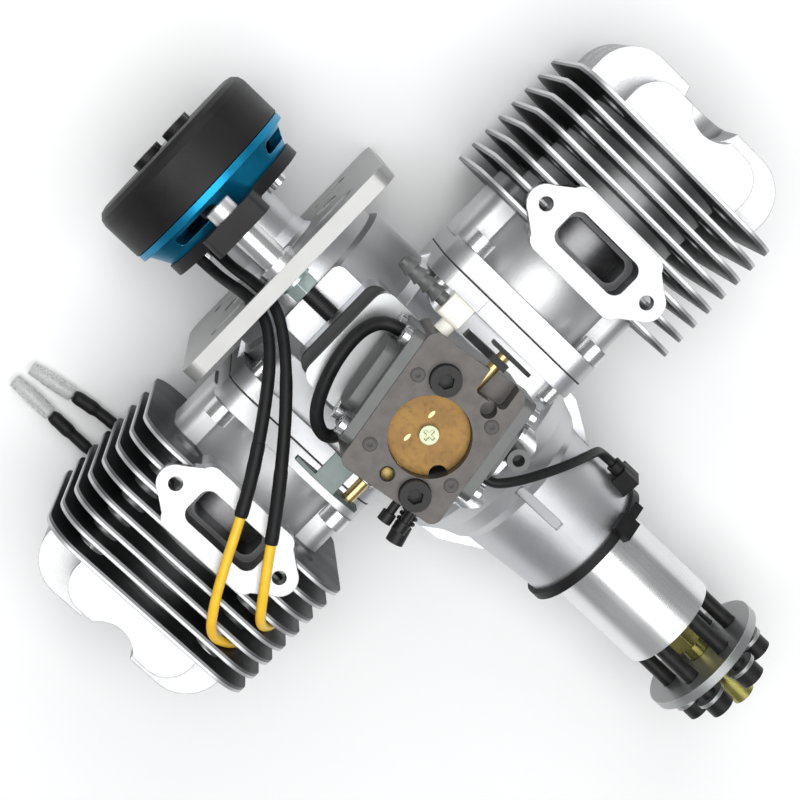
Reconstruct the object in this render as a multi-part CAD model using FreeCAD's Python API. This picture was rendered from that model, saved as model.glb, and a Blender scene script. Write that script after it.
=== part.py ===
import FreeCAD, Part
import math
import os

# Flat twin two-stroke engine with an electric starter-generator at its rear.
# All lengths are millimetres. X is the crank axis and points to the propeller end.
# Y is the cylinder axis. Z is up, towards the carburettor.
# The origin is on the crank axis, in the rear face of the mounting plate.

V = FreeCAD.Vector
X_DIR = V(1, 0, 0)
Y_DIR = V(0, 1, 0)
Z_DIR = V(0, 0, 1)

# Fits
running_gap = 0.05
press_gap = 0.01
spigot_gap = 0.05
screw_hole_gap = 0.15
clear_gap = 0.3

# Cylinders and crank train
bore_d = 38.0
stroke = 28.0
rod_length = 58.0
crown_height = 16.0
bank_centre_x = 50.3
bank_stagger = 20.0
right_x = bank_centre_x + bank_stagger / 2
left_x = bank_centre_x - bank_stagger / 2
crank_r = stroke / 2
pin_top_y = rod_length + crank_r

# Mounting plate
plate_t = 5.0
plate_half_y = 40.6
plate_half_z = 37.0
plate_corner_r = 5.0
slot_pitch_y = 44.0
slot_pitch_z = 44.0
slot_length = 14.0
slot_width = 6.0
plate_screw_circle_r = 20.0
plate_screw_d = 4.0
plate_screw_depth = 12.0

# Crankcase
neck_r = 26.5
neck_end_x = 11.0
rear_barrel_r = 28.5
main_barrel_r = 31.0
main_barrel_x0 = 34.0
main_barrel_x1 = 87.0
snout_rear_x = 101.0
snout_rear_r = 23.0
snout_front_r = 20.6
snout_front_x = 130.6
rear_boss_r = 11.6
rear_boss_flare = 1.6
deck_y = 34.0
deck_flange_t = 5.5
deck_half_x = 28.0
deck_half_z = 26.0
deck_corner_r = 8.0
deck_neck_half_x = 24.5
deck_neck_half_z = 23.0
chamber_r = 25.0
chamber_wall = 1.0
pad_x0 = 20.5
pad_x1 = 80.0
pad_half_y = 16.0
pad_top_z = 38.5
sole_x0 = 30.0
sole_bottom_z = -34.0
case_screw_y = 12.3
case_screw_z = 29.4
case_screw_d = 4.0
case_screw_tail = 14.0
gusset_t = 4.0

# Crankshaft
web_r = 22.5
web_t = 9.0
middle_web_t = 11.0
crankpin_d = 10.0
big_end_w = 8.4
front_journal_d = 17.0
rear_journal_d = 15.0
tail_shaft_d = 9.0
hub_d = 33.0
hub_x0 = 131.2
hub_x1 = 166.6

# Bearings: outside diameter, width
front_bearing_d = 40.0
front_bearing_w = 12.0
nose_bearing_d = 35.0
nose_bearing_w = 10.0
rear_bearing_d = 35.0
rear_bearing_w = 11.0
seal_d = 30.0
seal_w = 5.0
race_t = 3.6

# Finned cylinder
gasket_t = 0.5
base_flange_t = 6.5
barrel_wall = 5.0
spigot_wall = 2.5
spigot_depth = 6.0
fin_count = 8
first_fin_y = 58.3
fin_pitch = 5.8
fin_t = 1.8
fin_half_x = 38.5
fin_half_z = 37.5
fin_corner_r = 12.0
transfer_half_z = 13.0
transfer_half_x = 29.0
tool_channel_d = 8.8
base_screw_edge_x = 5.0
base_screw_edge_z = 4.0
base_screw_x = deck_half_x - base_screw_edge_x
base_screw_z = deck_half_z - base_screw_edge_z
base_screw_d = 5.0
base_screw_engagement = 10.0

# Cylinder head, cast in one with the barrel
head_half_x = 34.0
head_half_z = 16.2
head_height = 18.2
head_corner_r = 13.0
head_top_half_x = 22.6
head_top_half_z = 28.5
head_top_height = 13.7
head_top_corner_r = 9.0
head_slot_z = (6.0, 18.0)
head_slot_w = 3.6
head_core_r = 14.0
head_base_t = 2.0
chamber_clearance = 0.6
chamber_dome_h = 8.4
trough_r = 10.0
plug_seat_d = 19.0
plug_seat_y = 109.5
plug_hole_d = 9.0

# Exhaust port
port_centre_y = 64.4
port_flange_z = 40.0
port_flange_t = 5.0
port_screw_pitch = 40.3
port_screw_d = 4.2
port_screw_depth = 9.0
port_lobe_r = 5.6
port_body_half_x = 17.5
port_body_half_y = 11.5
port_opening_x = 26.0
port_opening_y = 11.5
port_opening_r = 3.3
port_window_x = 22.0
port_window_y = 8.6

# Piston
piston_gap = 0.06
skirt_below_pin = 13.0
wrist_pin_d = 9.0
ring_h = 1.2
ring_depth = 1.6
small_end_d = 15.0
big_end_d = 17.0
rod_t = 6.4
rod_web_w = 8.0

# Intake
insulator_t = 3.0
intake_block_t = 5.0
intake_bore_r = 9.0
reed_flange_t = 1.5

# Carburettor, turned a little about its bore
carb_x = 55.8
carb_y = -2.0
carb_turn = 8.8
carb_top_z = 74.0
carb_u0 = -16.3
carb_u1 = 15.6
carb_v0 = -19.6
carb_v1 = 24.0
choke_z = 68.5
choke_plate_r = 11.3
throttle_z = 52.6
throttle_plate_r = 8.4
butterfly_t = 1.0
choke_shaft_d = 3.6
throttle_shaft_d = 3.6
carb_screw_u = -5.7
carb_screw_v = 15.0
carb_screw_d = 5.0
cover_t = 3.3

# Propeller drive
prop_screw_pcd = 26.0
prop_screw_count = 6
prop_screw_d = 5.0
prop_screw_head_d = 8.5
prop_washer_d = 42.0
prop_washer_t = 3.0
prop_gap = 14.6
stud_d = 8.0
stud_waist_d = 7.6
stud_sleeve_d = 10.0
stud_recess_r = 6.0
stud_recess = 0.8
stud_proud = 17.6
prop_screw_stand = 4.8
plain_washer_d = 10.0
plain_washer_t = 1.2
stud_hex_length = 10.0

# Starter-generator
post_circle_r = 31.5
post_d = 8.6
post_collar_d = 12.0
post_collar_t = 2.5
post_screw_d = 5.0
arm_plate_x0 = -20.8
arm_plate_x1 = -17.1
arm_boss_r = 10.2
arm_boss_x1 = -14.0
stator_can_x0 = -29.6
stator_can_r = 29.2
stator_can_rear_r = 24.0
stator_can_wall = 2.0
rotor_x0 = -46.5
rotor_x1 = -29.9
rotor_r = 29.5
rotor_wall = 2.6
magnet_t = 3.0
core_r = 22.8
core_teeth = 12

# Leads, hose and cable
lead_d = 3.0
hose_d = 4.0
cable_d = 3.0
bullet_d = 5.0


def rod_x(r, x0, x1, y=0.0, z=0.0):
    """Round bar along X."""
    return Part.makeCylinder(r, x1 - x0, V(x0, y, z), X_DIR)


def rod_y(r, y0, y1, x=0.0, z=0.0):
    """Round bar along Y."""
    return Part.makeCylinder(r, y1 - y0, V(x, y0, z), Y_DIR)


def rod_z(r, z0, z1, x=0.0, y=0.0):
    """Round bar along Z."""
    return Part.makeCylinder(r, z1 - z0, V(x, y, z0), Z_DIR)


def block(x0, x1, y0, y1, z0, z1):
    """Square-cornered block between two corners."""
    return Part.makeBox(x1 - x0, y1 - y0, z1 - z0, V(x0, y0, z0))


def soft_block(x0, x1, y0, y1, z0, z1, r, along):
    """Block whose four edges along one direction are rounded."""
    body = block(x0, x1, y0, y1, z0, z1)
    edges = []
    for edge in body.Edges:
        run = edge.Vertexes[1].Point - edge.Vertexes[0].Point
        if abs(run.normalize().dot(along)) > 0.99:
            edges.append(edge)
    return body.makeFillet(r, edges)


def prism(points, sweep):
    """Flat outline through the points, pushed along the sweep vector."""
    outline = Part.makePolygon(points + [points[0]])
    return Part.Face(outline).extrude(sweep)


def turned(points, centre, axis, radial):
    """Solid of revolution from (distance along the axis, radius) pairs."""
    outline = [centre + axis * a + radial * r for a, r in points]
    solid = Part.Face(Part.makePolygon(outline + [outline[0]])).revolve(centre, axis, 360)
    if solid.Volume < 0:
        solid.reverse()
    return solid


def turned_x(points, y=0.0, z=0.0):
    """Solid of revolution about a line along X."""
    return turned(points, V(0, y, z), X_DIR, Z_DIR)


def turned_y(points, x=0.0, z=0.0):
    """Solid of revolution about a line along Y."""
    return turned(points, V(x, 0, z), Y_DIR, Z_DIR)


def turned_z(points, x=0.0, y=0.0):
    """Solid of revolution about a line along Z."""
    return turned(points, V(x, y, 0), Z_DIR, X_DIR)


def hexagon(across_flats, height, centre=V(0, 0, 0)):
    """Upright hexagonal bar standing on its centre point."""
    r = across_flats / math.sqrt(3)
    corners = [centre + V(r * math.cos(math.radians(a)), r * math.sin(math.radians(a)), 0) for a in range(0, 360, 60)]
    return prism(corners, V(0, 0, height))


def aimed(shape, at, direction):
    """Move a part that was made standing on the origin along Z."""
    shape = shape.copy()
    shape.Placement = FreeCAD.Placement(at, FreeCAD.Rotation(Z_DIR, direction))
    return shape


def cap_screw(shank_d, head_d, head_h, length, at, direction):
    """Socket head cap screw. The head stands on the point, the shank goes below it."""
    body = rod_z(shank_d / 2, -length, head_h / 2).fuse(rod_z(head_d / 2, 0, head_h))
    socket = hexagon(shank_d * 0.8, head_h, V(0, 0, head_h * 0.45))
    return aimed(body.cut(socket).removeSplitter(), at, direction)


def pan_screw(shank_d, head_d, head_h, length, at, direction):
    """Low round-headed screw with a cross slot."""
    body = rod_z(shank_d / 2, -length, head_h / 2).fuse(rod_z(head_d / 2, 0, head_h))
    slot_w = head_d * 0.16
    slot_l = head_d * 0.32
    top = head_h * 0.55
    for half_x, half_y in ((slot_w / 2, slot_l), (slot_l, slot_w / 2)):
        body = body.cut(block(-half_x, half_x, -half_y, half_y, top, head_h + 1))
    return aimed(body.removeSplitter(), at, direction)


def around_x(shape, angle, x=0.0):
    """Copy of a shape turned about the crank axis."""
    copy = shape.copy()
    copy.rotate(V(x, 0, 0), X_DIR, angle)
    return copy


def around_y(shape, angle, centre):
    """Copy of a shape turned about a line along Y."""
    copy = shape.copy()
    copy.rotate(centre, Y_DIR, angle)
    return copy


def joined(shapes):
    """Fuse a list of shapes into one solid."""
    first = shapes[0]
    if len(shapes) > 1:
        first = first.fuse(shapes[1:])
    return first.removeSplitter()


def mirrored(shape):
    """Copy of a right-hand piece on the left bank."""
    copy = shape.mirror(V(0, 0, 0), Y_DIR)
    copy.translate(V(left_x - right_x, 0, 0))
    return copy


nodes = {}


def keep(name, *shapes):
    """Store the separate solids of one named piece."""
    solids = []
    for shape in shapes:
        solids.extend(shape.Solids)
    nodes[name] = solids


# Mounting plate: four slots for the airframe, two post holes and a hole for the leads
mount_plate = soft_block(0, plate_t, -plate_half_y, plate_half_y, -plate_half_z, plate_half_z, plate_corner_r, X_DIR)
slot_half = (slot_length - slot_width) / 2
for side_y in (-1, 1):
    for side_z in (-1, 1):
        y = side_y * slot_pitch_y / 2
        z = side_z * slot_pitch_z / 2
        mount_plate = mount_plate.cut(soft_block(-1, plate_t + 1, y - slot_length / 2, y + slot_length / 2,
                                                 z - slot_width / 2, z + slot_width / 2,
                                                 slot_width / 2 - 0.001, X_DIR))
lead_window_y = (-15.0, -6.6)
lead_window_z = 30.2
lead_window_h = 8.0
lead_window_r = 1.5
post_hole_r = post_screw_d / 2 + screw_hole_gap
mount_plate = mount_plate.cut(soft_block(-1, plate_t + 1, lead_window_y[0], lead_window_y[1],
                                         lead_window_z - lead_window_h / 2, lead_window_z + lead_window_h / 2,
                                         lead_window_r, X_DIR))
plate_screw_head_d = 2 * plate_screw_d
countersink = turned_x([(-1, 0), (-1, plate_screw_head_d / 2), (0, plate_screw_head_d / 2),
                        (plate_screw_d / 2, plate_screw_d / 2), (plate_t + 1, plate_screw_d / 2),
                        (plate_t + 1, 0)], 0, plate_screw_circle_r)
for angle in (0, 90, 180, 270):
    mount_plate = mount_plate.cut(around_x(countersink, angle))
for angle in (0, 180):
    mount_plate = mount_plate.cut(around_x(rod_x(post_hole_r, -1, plate_t + 1, 0, post_circle_r), angle))
mount_plate = mount_plate.cut(rod_x(rear_boss_r + rear_boss_flare + spigot_gap, -1, plate_t + 1))
keep("mounting_plate", mount_plate)

flat_screw = turned_x([(0.3, 0), (0.3, plate_screw_head_d / 2 - 0.4), (plate_screw_d / 2, plate_screw_d / 2 - 0.1),
                       (plate_t + plate_screw_depth, plate_screw_d / 2 - 0.1), (plate_t + plate_screw_depth, 0)],
                      0, plate_screw_circle_r)
flat_socket = aimed(hexagon(2.5, 2), V(-0.5, 0, plate_screw_circle_r), X_DIR)
flat_screw = flat_screw.cut(flat_socket)
keep("plate_screws", *[around_x(flat_screw, a) for a in (0, 90, 180, 270)])

# Positions along the crank that follow from the banks and the web widths
right_gap_x0 = right_x - web_t / 2
right_gap_x1 = right_x + web_t / 2
left_gap_x0 = left_x - web_t / 2
left_gap_x1 = left_x + web_t / 2
front_web_x1 = right_gap_x1 + web_t
rear_web_x0 = left_gap_x0 - web_t
chamber_x0 = rear_web_x0 - chamber_wall
chamber_x1 = front_web_x1 + chamber_wall
front_bearing_x0 = chamber_x1
front_bearing_x1 = front_bearing_x0 + front_bearing_w
rear_bearing_x1 = chamber_x0
rear_bearing_x0 = rear_bearing_x1 - rear_bearing_w
seal_x1 = snout_front_x - 0.8
seal_x0 = seal_x1 - seal_w
nose_bearing_x1 = seal_x0 - 1.0
nose_bearing_x0 = nose_bearing_x1 - nose_bearing_w

# Crankcase casting, made whole and then split in the middle between the banks
case_outline = [(plate_t, 0), (plate_t, neck_r), (neck_end_x, neck_r), (neck_end_x + 1.5, rear_barrel_r),
                (main_barrel_x0 - 3, rear_barrel_r), (main_barrel_x0, main_barrel_r), (main_barrel_x1, main_barrel_r),
                (main_barrel_x1 + 6, main_barrel_r - 4), (snout_rear_x - 3, snout_rear_r + 2.2),
                (snout_rear_x, snout_rear_r), (snout_front_x, snout_front_r), (snout_front_x, 0)]
case = turned_x(case_outline)
case_parts = [turned_x([(arm_plate_x1, 0), (arm_plate_x1, rear_boss_r), (-5.0, rear_boss_r),
                        (-1.5, rear_boss_r + 0.5), (0, rear_boss_r + rear_boss_flare),
                        (plate_t + 1, rear_boss_r + rear_boss_flare), (plate_t + 1, 0)])]
for side, bank_x in ((1, right_x), (-1, left_x)):
    neck = soft_block(bank_x - deck_neck_half_x, bank_x + deck_neck_half_x, 0, deck_y - 1,
                      -deck_neck_half_z, deck_neck_half_z, 6.0, Y_DIR)
    flange = soft_block(bank_x - deck_half_x, bank_x + deck_half_x, deck_y - deck_flange_t, deck_y,
                        -deck_half_z, deck_half_z, deck_corner_r, Y_DIR)
    web = prism([V(bank_x - deck_half_x - 7, 20, -1.6), V(bank_x - deck_half_x + 1, deck_y - 1, -1.6),
                 V(bank_x, deck_y - 1, -1.6), V(bank_x, 20, -1.6)], V(0, 0, 3.2))
    for piece in (neck, flange, web):
        if side < 0:
            piece = piece.mirror(V(0, 0, 0), Y_DIR)
        case_parts.append(piece)
front_deck_x = right_x + deck_half_x
for side in (1, -1):
    gusset = prism([V(main_barrel_x1 - 8, side * 20, -gusset_t / 2), V(main_barrel_x1 - 6, side * 31.5, -gusset_t / 2),
                    V(front_deck_x + 7, side * 30, -gusset_t / 2), V(snout_rear_x + 15, side * 18, -gusset_t / 2),
                    V(snout_rear_x, side * 12, -gusset_t / 2)], V(0, 0, gusset_t))
    case_parts.append(gusset)
case_parts.append(soft_block(pad_x0, pad_x1, -pad_half_y, pad_half_y, 18, pad_top_z, 4.0, Z_DIR))
case_parts.append(soft_block(sole_x0, pad_x1 - 2, -pad_half_y, pad_half_y, sole_bottom_z, -18, 4.0, Z_DIR))
case_parts.append(soft_block(neck_end_x, pad_x0 + 5, -12, 12, 18, rear_barrel_r + 0.1, 3.0, Z_DIR))
case = case.fuse(case_parts)

cavities = [rod_x(chamber_r, chamber_x0, chamber_x1),
            rod_x(rear_bearing_d / 2, rear_bearing_x0, chamber_x0 + 1),
            rod_x(front_bearing_d / 2, chamber_x1 - 1, front_bearing_x1),
            rod_x(front_bearing_d / 2 - 4, front_bearing_x1 - 1, nose_bearing_x0 - 3),
            rod_x(nose_bearing_d / 2, nose_bearing_x0, nose_bearing_x1),
            rod_x(nose_bearing_d / 2 - 2.5, nose_bearing_x0 - 4, nose_bearing_x1 + 1),
            rod_x(seal_d / 2, seal_x0, snout_front_x + 1),
            rod_x(tail_shaft_d / 2 + 0.8, arm_plate_x1 - 1, rear_bearing_x0 + 1),
            rod_z(intake_bore_r - 1.5, 15, pad_top_z + 1, carb_x, carb_y),
            rod_z(intake_bore_r, pad_top_z - reed_flange_t, pad_top_z + 1, carb_x, carb_y)]
spigot_r = bore_d / 2 + spigot_wall
cavities.append(rod_y(spigot_r + spigot_gap, 0, deck_y + 1, right_x))
cavities.append(rod_y(spigot_r + spigot_gap, -deck_y - 1, 0, left_x))
rod_swing = math.asin(crank_r / rod_length)
sweep_r = big_end_d / 2 + 0.5
sweep_far = rod_length * (1 - math.cos(rod_swing)) + crank_r + sweep_r
sweep_near = crank_r + sweep_r - rod_length * (1 - math.cos(rod_swing))
for side, bank_x in ((1, right_x), (-1, left_x)):
    y0, y1 = sorted((-side * sweep_near, side * sweep_far))
    cavities.append(soft_block(bank_x - big_end_w / 2 - 0.4, bank_x + big_end_w / 2 + 0.4, y0, y1,
                               -crank_r - sweep_r, crank_r + sweep_r, sweep_r - 0.1, X_DIR))
base_screw_hole_r = base_screw_d / 2
base_screw_depth = base_screw_engagement + 1.0
for side, bank_x in ((1, right_x), (-1, left_x)):
    for dx in (-base_screw_x, base_screw_x):
        for z in (-base_screw_z, base_screw_z):
            y0, y1 = sorted((side * (deck_y - base_screw_depth), side * (deck_y + 1)))
            cavities.append(rod_y(base_screw_hole_r, y0, y1, bank_x + dx, z))
for angle in (0, 90, 180, 270):
    cavities.append(around_x(rod_x(plate_screw_d / 2, plate_t - 1, plate_t + plate_screw_depth + 0.6,
                                   0, plate_screw_circle_r), angle))
case_screw_x1 = pad_x1
case_screw_x0 = bank_centre_x - case_screw_tail
for y in (-case_screw_y, case_screw_y):
    cavities.append(rod_x(case_screw_d / 2, case_screw_x0 - 1, case_screw_x1 + 1, y, case_screw_z))
    cavities.append(rod_x(case_screw_d / 2, case_screw_x0 - 1, case_screw_x1 - 1, y, -case_screw_z))
    cavities.append(rod_x(4.0, case_screw_x1, case_screw_x1 + 12, y, case_screw_z))
    cavities.append(rod_x(4.0, case_screw_x1 - 2, case_screw_x1 + 12, y, -case_screw_z))
carb_screw_tip_z = pad_top_z - 6.4
turn = math.radians(carb_turn)


def carb_point(u, v, z=0.0):
    """Point given in the turned carburettor's own directions."""
    return V(carb_x + u * math.cos(turn) - v * math.sin(turn), carb_y + u * math.sin(turn) + v * math.cos(turn), z)


carb_screw_points = [carb_point(carb_screw_u, carb_screw_v), carb_point(-carb_screw_u, -carb_screw_v)]
for p in carb_screw_points:
    cavities.append(rod_z(carb_screw_d / 2, carb_screw_tip_z - 0.6, pad_top_z + 1, p.x, p.y))
groove = soft_block(96.0, 114.0, -1.5, 1.5, snout_front_r + 1.0, main_barrel_r, 1.4, Z_DIR)
cavities.append(groove)
case = case.cut(cavities)
whole = 400.0
rear_half = case.common(block(-whole, bank_centre_x, -whole, whole, -whole, whole)).removeSplitter()
front_half = case.common(block(bank_centre_x, whole, -whole, whole, -whole, whole)).removeSplitter()
keep("crankcase_rear", rear_half)
keep("crankcase_front", front_half)

case_screw_head_h = 4.0
case_screws = []
for y in (-case_screw_y, case_screw_y):
    case_screws.append(cap_screw(case_screw_d - 0.1, 7.0, case_screw_head_h, case_screw_x1 - case_screw_x0,
                                 V(case_screw_x1, y, case_screw_z), X_DIR))
    case_screws.append(cap_screw(case_screw_d - 0.1, 7.0, case_screw_head_h, case_screw_x1 - 2 - case_screw_x0,
                                 V(case_screw_x1 - 2, y, -case_screw_z), X_DIR))
keep("case_screws", *case_screws)


# Sealed ball bearings, each an outer and an inner race joined by its shields
def bearing(outer_d, inner_d, x0, x1):
    """Closed bearing between two planes: races with a shallow recess at each side."""
    mid_out = outer_d / 2 - race_t
    mid_in = inner_d / 2 + race_t
    recess = 0.8
    return turned_x([(x0, inner_d / 2), (x0, mid_in), (x0 + recess, mid_in), (x0 + recess, mid_out), (x0, mid_out),
                     (x0, outer_d / 2), (x1, outer_d / 2), (x1, mid_out), (x1 - recess, mid_out),
                     (x1 - recess, mid_in), (x1, mid_in), (x1, inner_d / 2)])


rear_seat_d = rear_journal_d + 2 * running_gap
front_seat_d = front_journal_d + 2 * running_gap
keep("main_bearings",
     bearing(rear_bearing_d - 2 * press_gap, rear_seat_d, rear_bearing_x0, rear_bearing_x1),
     bearing(front_bearing_d - 2 * press_gap, front_seat_d, front_bearing_x0, front_bearing_x1),
     bearing(nose_bearing_d - 2 * press_gap, front_seat_d, nose_bearing_x0, nose_bearing_x1))
seal_profile = [(seal_x0, front_seat_d / 2 + 3), (seal_x0, seal_d / 2), (seal_x1, seal_d / 2),
                (seal_x1, front_seat_d / 2), (seal_x1 - 1.2, front_seat_d / 2), (seal_x1 - 1.8, front_seat_d / 2 + 3)]
shaft_seal = turned_x(seal_profile)


# Finned cylinder with its head in one casting, made for the right bank and mirrored
def lozenge(z0, z1):
    """Exhaust flange outline: a round-cornered body with a lobe round each screw hole."""
    y = port_centre_y
    body = soft_block(-port_body_half_x, port_body_half_x, y - port_body_half_y, y + port_body_half_y, z0, z1,
                      4.0, Z_DIR)
    half_pitch = port_screw_pitch / 2
    pieces = [body]
    for side in (-1, 1):
        pieces.append(rod_z(port_lobe_r, z0, z1, side * half_pitch, y))
        ear = prism([V(side * (port_body_half_x - 3), y - port_body_half_y + 0.6, z0),
                     V(side * (half_pitch + 2.2), y - port_lobe_r * 0.92, z0),
                     V(side * (half_pitch + 2.2), y + port_lobe_r * 0.92, z0),
                     V(side * (port_body_half_x - 3), y + port_body_half_y - 0.6, z0)], V(0, 0, z1 - z0))
        pieces.append(ear)
    return joined(pieces)


def make_cylinder():
    """Right-hand cylinder casting about the Y axis, moved to its bank at the end."""
    base_y = deck_y + gasket_t
    flange_top = base_y + base_flange_t
    last_fin_y = first_fin_y + fin_pitch * (fin_count - 1)
    head_y0 = last_fin_y + fin_t / 2
    head_y1 = head_y0 + head_height
    barrel_r = bore_d / 2 + barrel_wall
    pieces = [rod_y(spigot_r, base_y - spigot_depth, base_y + 1),
              soft_block(-deck_half_x, deck_half_x, base_y, flange_top, -deck_half_z, deck_half_z,
                         deck_corner_r, Y_DIR),
              rod_y(barrel_r, base_y, head_y0 + 1),
              soft_block(-transfer_half_x, transfer_half_x, flange_top - 1, first_fin_y + fin_pitch,
                         -transfer_half_z, transfer_half_z, 5.0, Y_DIR)]
    for i in range(fin_count):
        y = first_fin_y + i * fin_pitch
        pieces.append(soft_block(-fin_half_x, fin_half_x, y - fin_t / 2, y + fin_t / 2, -fin_half_z, fin_half_z,
                                 fin_corner_r, Y_DIR))
    pieces.append(lozenge(port_flange_z - port_flange_t, port_flange_z))
    pieces.append(soft_block(-port_body_half_x, port_body_half_x, port_centre_y - 9.5, port_centre_y + 9.5,
                             10, port_flange_z - 1, 4.0, Z_DIR))
    head_top_y = head_y0 + head_top_height
    head = soft_block(-head_half_x, head_half_x, head_y0 - 2 * head_corner_r, head_y1, -head_half_z, head_half_z,
                      head_corner_r, Z_DIR)
    head = head.fuse(soft_block(-head_top_half_x, head_top_half_x, head_y0 - 2 * head_corner_r, head_top_y,
                                -head_top_half_z, head_top_half_z, head_top_corner_r, Z_DIR))
    core = rod_y(head_core_r, head_y0, head_y1 + 1)
    slots = []
    for z in head_slot_z:
        for centre in (-z, z):
            slots.append(block(-head_half_x - 1, head_half_x + 1, head_y0 + head_base_t, head_y1 + 1,
                               centre - head_slot_w / 2, centre + head_slot_w / 2).cut(core))
    head = head.cut(slots).common(block(-fin_half_x, fin_half_x, head_y0, head_y1 + 1, -fin_half_z, fin_half_z))
    body = head.fuse(pieces)
    crown_top_y = pin_top_y + crown_height
    roof_y = crown_top_y + chamber_clearance
    channel_y0 = flange_top + 0.01
    cuts = [rod_y(bore_d / 2, 0, roof_y),
            turned_y([(roof_y - 0.5, 0), (roof_y - 0.5, bore_d / 2), (roof_y, bore_d / 2),
                      (roof_y + chamber_dome_h * 0.5, bore_d / 2 - 3), (roof_y + chamber_dome_h, bore_d / 2 - 10),
                      (roof_y + chamber_dome_h, 0)]),
            rod_y(plug_hole_d / 2, roof_y, head_y1 + 1),
            rod_y(plug_seat_d / 2, plug_seat_y, head_y1 + 1),
            rod_z(trough_r, 0, head_top_half_z + 1, 0, plug_seat_y + 0.1 + trough_r)]
    for dx in (-base_screw_x, base_screw_x):
        for z in (-base_screw_z, base_screw_z):
            cuts.append(rod_y(base_screw_d / 2 + screw_hole_gap, base_y - 1, flange_top + 1, dx, z))
            cuts.append(rod_y(tool_channel_d / 2, channel_y0, head_y1 + 1, dx, z))
    opening = soft_block(-port_opening_x / 2, port_opening_x / 2, port_centre_y - port_opening_y / 2,
                         port_centre_y + port_opening_y / 2, port_flange_z - 9, port_flange_z + 1,
                         port_opening_r, Z_DIR)
    duct = soft_block(-port_window_x / 2, port_window_x / 2, port_centre_y - port_window_y / 2,
                      port_centre_y + port_window_y / 2, bore_d / 2 - 5, port_flange_z - 8, 3.0, Z_DIR)
    cuts.append(opening)
    cuts.append(duct)
    for side in (-1, 1):
        cuts.append(rod_z(port_screw_d / 2, port_flange_z - port_screw_depth, port_flange_z + 1,
                          side * port_screw_pitch / 2, port_centre_y))
    body = body.cut(cuts).removeSplitter()
    body.translate(V(right_x, 0, 0))
    return body


cylinder = make_cylinder()
keep("cylinder_right", cylinder)
keep("cylinder_left", mirrored(cylinder))

gasket = soft_block(right_x - deck_half_x, right_x + deck_half_x, deck_y, deck_y + gasket_t,
                    -deck_half_z, deck_half_z, deck_corner_r, Y_DIR)
gasket = gasket.cut(rod_y(spigot_r + clear_gap, 0, deck_y + 1, right_x))
for dx in (-base_screw_x, base_screw_x):
    for z in (-base_screw_z, base_screw_z):
        gasket = gasket.cut(rod_y(base_screw_d / 2 + screw_hole_gap, 0, deck_y + 1, right_x + dx, z))

screws = []
flange_top_y = deck_y + gasket_t + base_flange_t
for dx in (-base_screw_x, base_screw_x):
    for z in (-base_screw_z, base_screw_z):
        screw = cap_screw(base_screw_d - 0.1, 8.5, 5.0, base_flange_t + gasket_t + base_screw_engagement,
                          V(right_x + dx, flange_top_y, z), Y_DIR)
        screws.extend([screw, mirrored(screw)])
keep("base_screws", *screws)

# Intake: insulator, adapter block and the reed cage that hangs in the case passage
insulator_z1 = pad_top_z + insulator_t
block_z1 = insulator_z1 + intake_block_t


def intake_layer(x0, x1, half_y, z0, z1):
    """One flat layer of the intake stack with its passage and screw holes."""
    layer = soft_block(x0, x1, -half_y, half_y, z0, z1, 4.0, Z_DIR)
    layer = layer.cut(rod_z(intake_bore_r - 0.4, z0 - 1, z1 + 1, carb_x, carb_y))
    for p in carb_screw_points:
        layer = layer.cut(rod_z(carb_screw_d / 2 + screw_hole_gap, z0 - 1, z1 + 1, p.x, p.y))
    return layer


insulator = intake_layer(pad_x0, pad_x1 - 1, pad_half_y, pad_top_z, insulator_z1)
keep("gaskets", gasket, mirrored(gasket), insulator, shaft_seal)
keep("intake_block", intake_layer(pad_x0 + 2.6, pad_x1 - 3, pad_half_y + 1, insulator_z1, block_z1))

cage_half_x = 5.0
cage_half_y = 4.8
cage_tip_z = pad_top_z - 11.0
cage_y0 = carb_y - cage_half_y
cage = prism([V(carb_x - cage_half_x, cage_y0, pad_top_z - reed_flange_t),
              V(carb_x + cage_half_x, cage_y0, pad_top_z - reed_flange_t),
              V(carb_x + 0.8, cage_y0, cage_tip_z), V(carb_x - 0.8, cage_y0, cage_tip_z)],
             V(0, 2 * cage_half_y, 0))
cage = cage.fuse(rod_z(intake_bore_r - running_gap, pad_top_z - reed_flange_t, pad_top_z, carb_x, carb_y))
cage_mouth = prism([V(carb_x - cage_half_x + 1.2, cage_y0 + 1, pad_top_z + 1),
                    V(carb_x + cage_half_x - 1.2, cage_y0 + 1, pad_top_z + 1),
                    V(carb_x + 0.3, cage_y0 + 1, cage_tip_z + 2.0), V(carb_x - 0.3, cage_y0 + 1, cage_tip_z + 2.0)],
                   V(0, 2 * cage_half_y - 2, 0))
cage = cage.cut(cage_mouth).removeSplitter()
petal_t = 0.3
petals = []
for side in (-1, 1):
    top = V(carb_x + side * (cage_half_x - 0.5), cage_y0 + 0.6, pad_top_z - reed_flange_t - 1.1)
    low = V(carb_x + side * 0.95, cage_y0 + 0.6, cage_tip_z + 0.2)
    run = (low - top).normalize()
    out = V(-run.z, 0, run.x) * side
    if out.x * side < 0:
        out = out * -1
    lift = out * 0.05
    petals.append(prism([top + lift, low + lift, low + lift + out * petal_t, top + lift + out * petal_t],
                        V(0, 2 * cage_half_y - 1.2, 0)))
keep("reed_valve", cage, *petals)

# Carburettor body. Its sides follow the turned directions; both spindles lie along Y.
carb_z0 = block_z1


def carb_block(u0, u1, v0, v1, z0, z1, r, along):
    """Rounded block in the turned directions of the carburettor."""
    body = soft_block(u0, u1, v0, v1, z0, z1, r, along)
    body.rotate(V(0, 0, 0), Z_DIR, carb_turn)
    body.translate(V(carb_x, carb_y, 0))
    return body


def carb_dir(u, v, z=0.0):
    """Direction given in the turned carburettor's own directions."""
    return carb_point(u, v, z) - carb_point(0, 0, 0)


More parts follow.
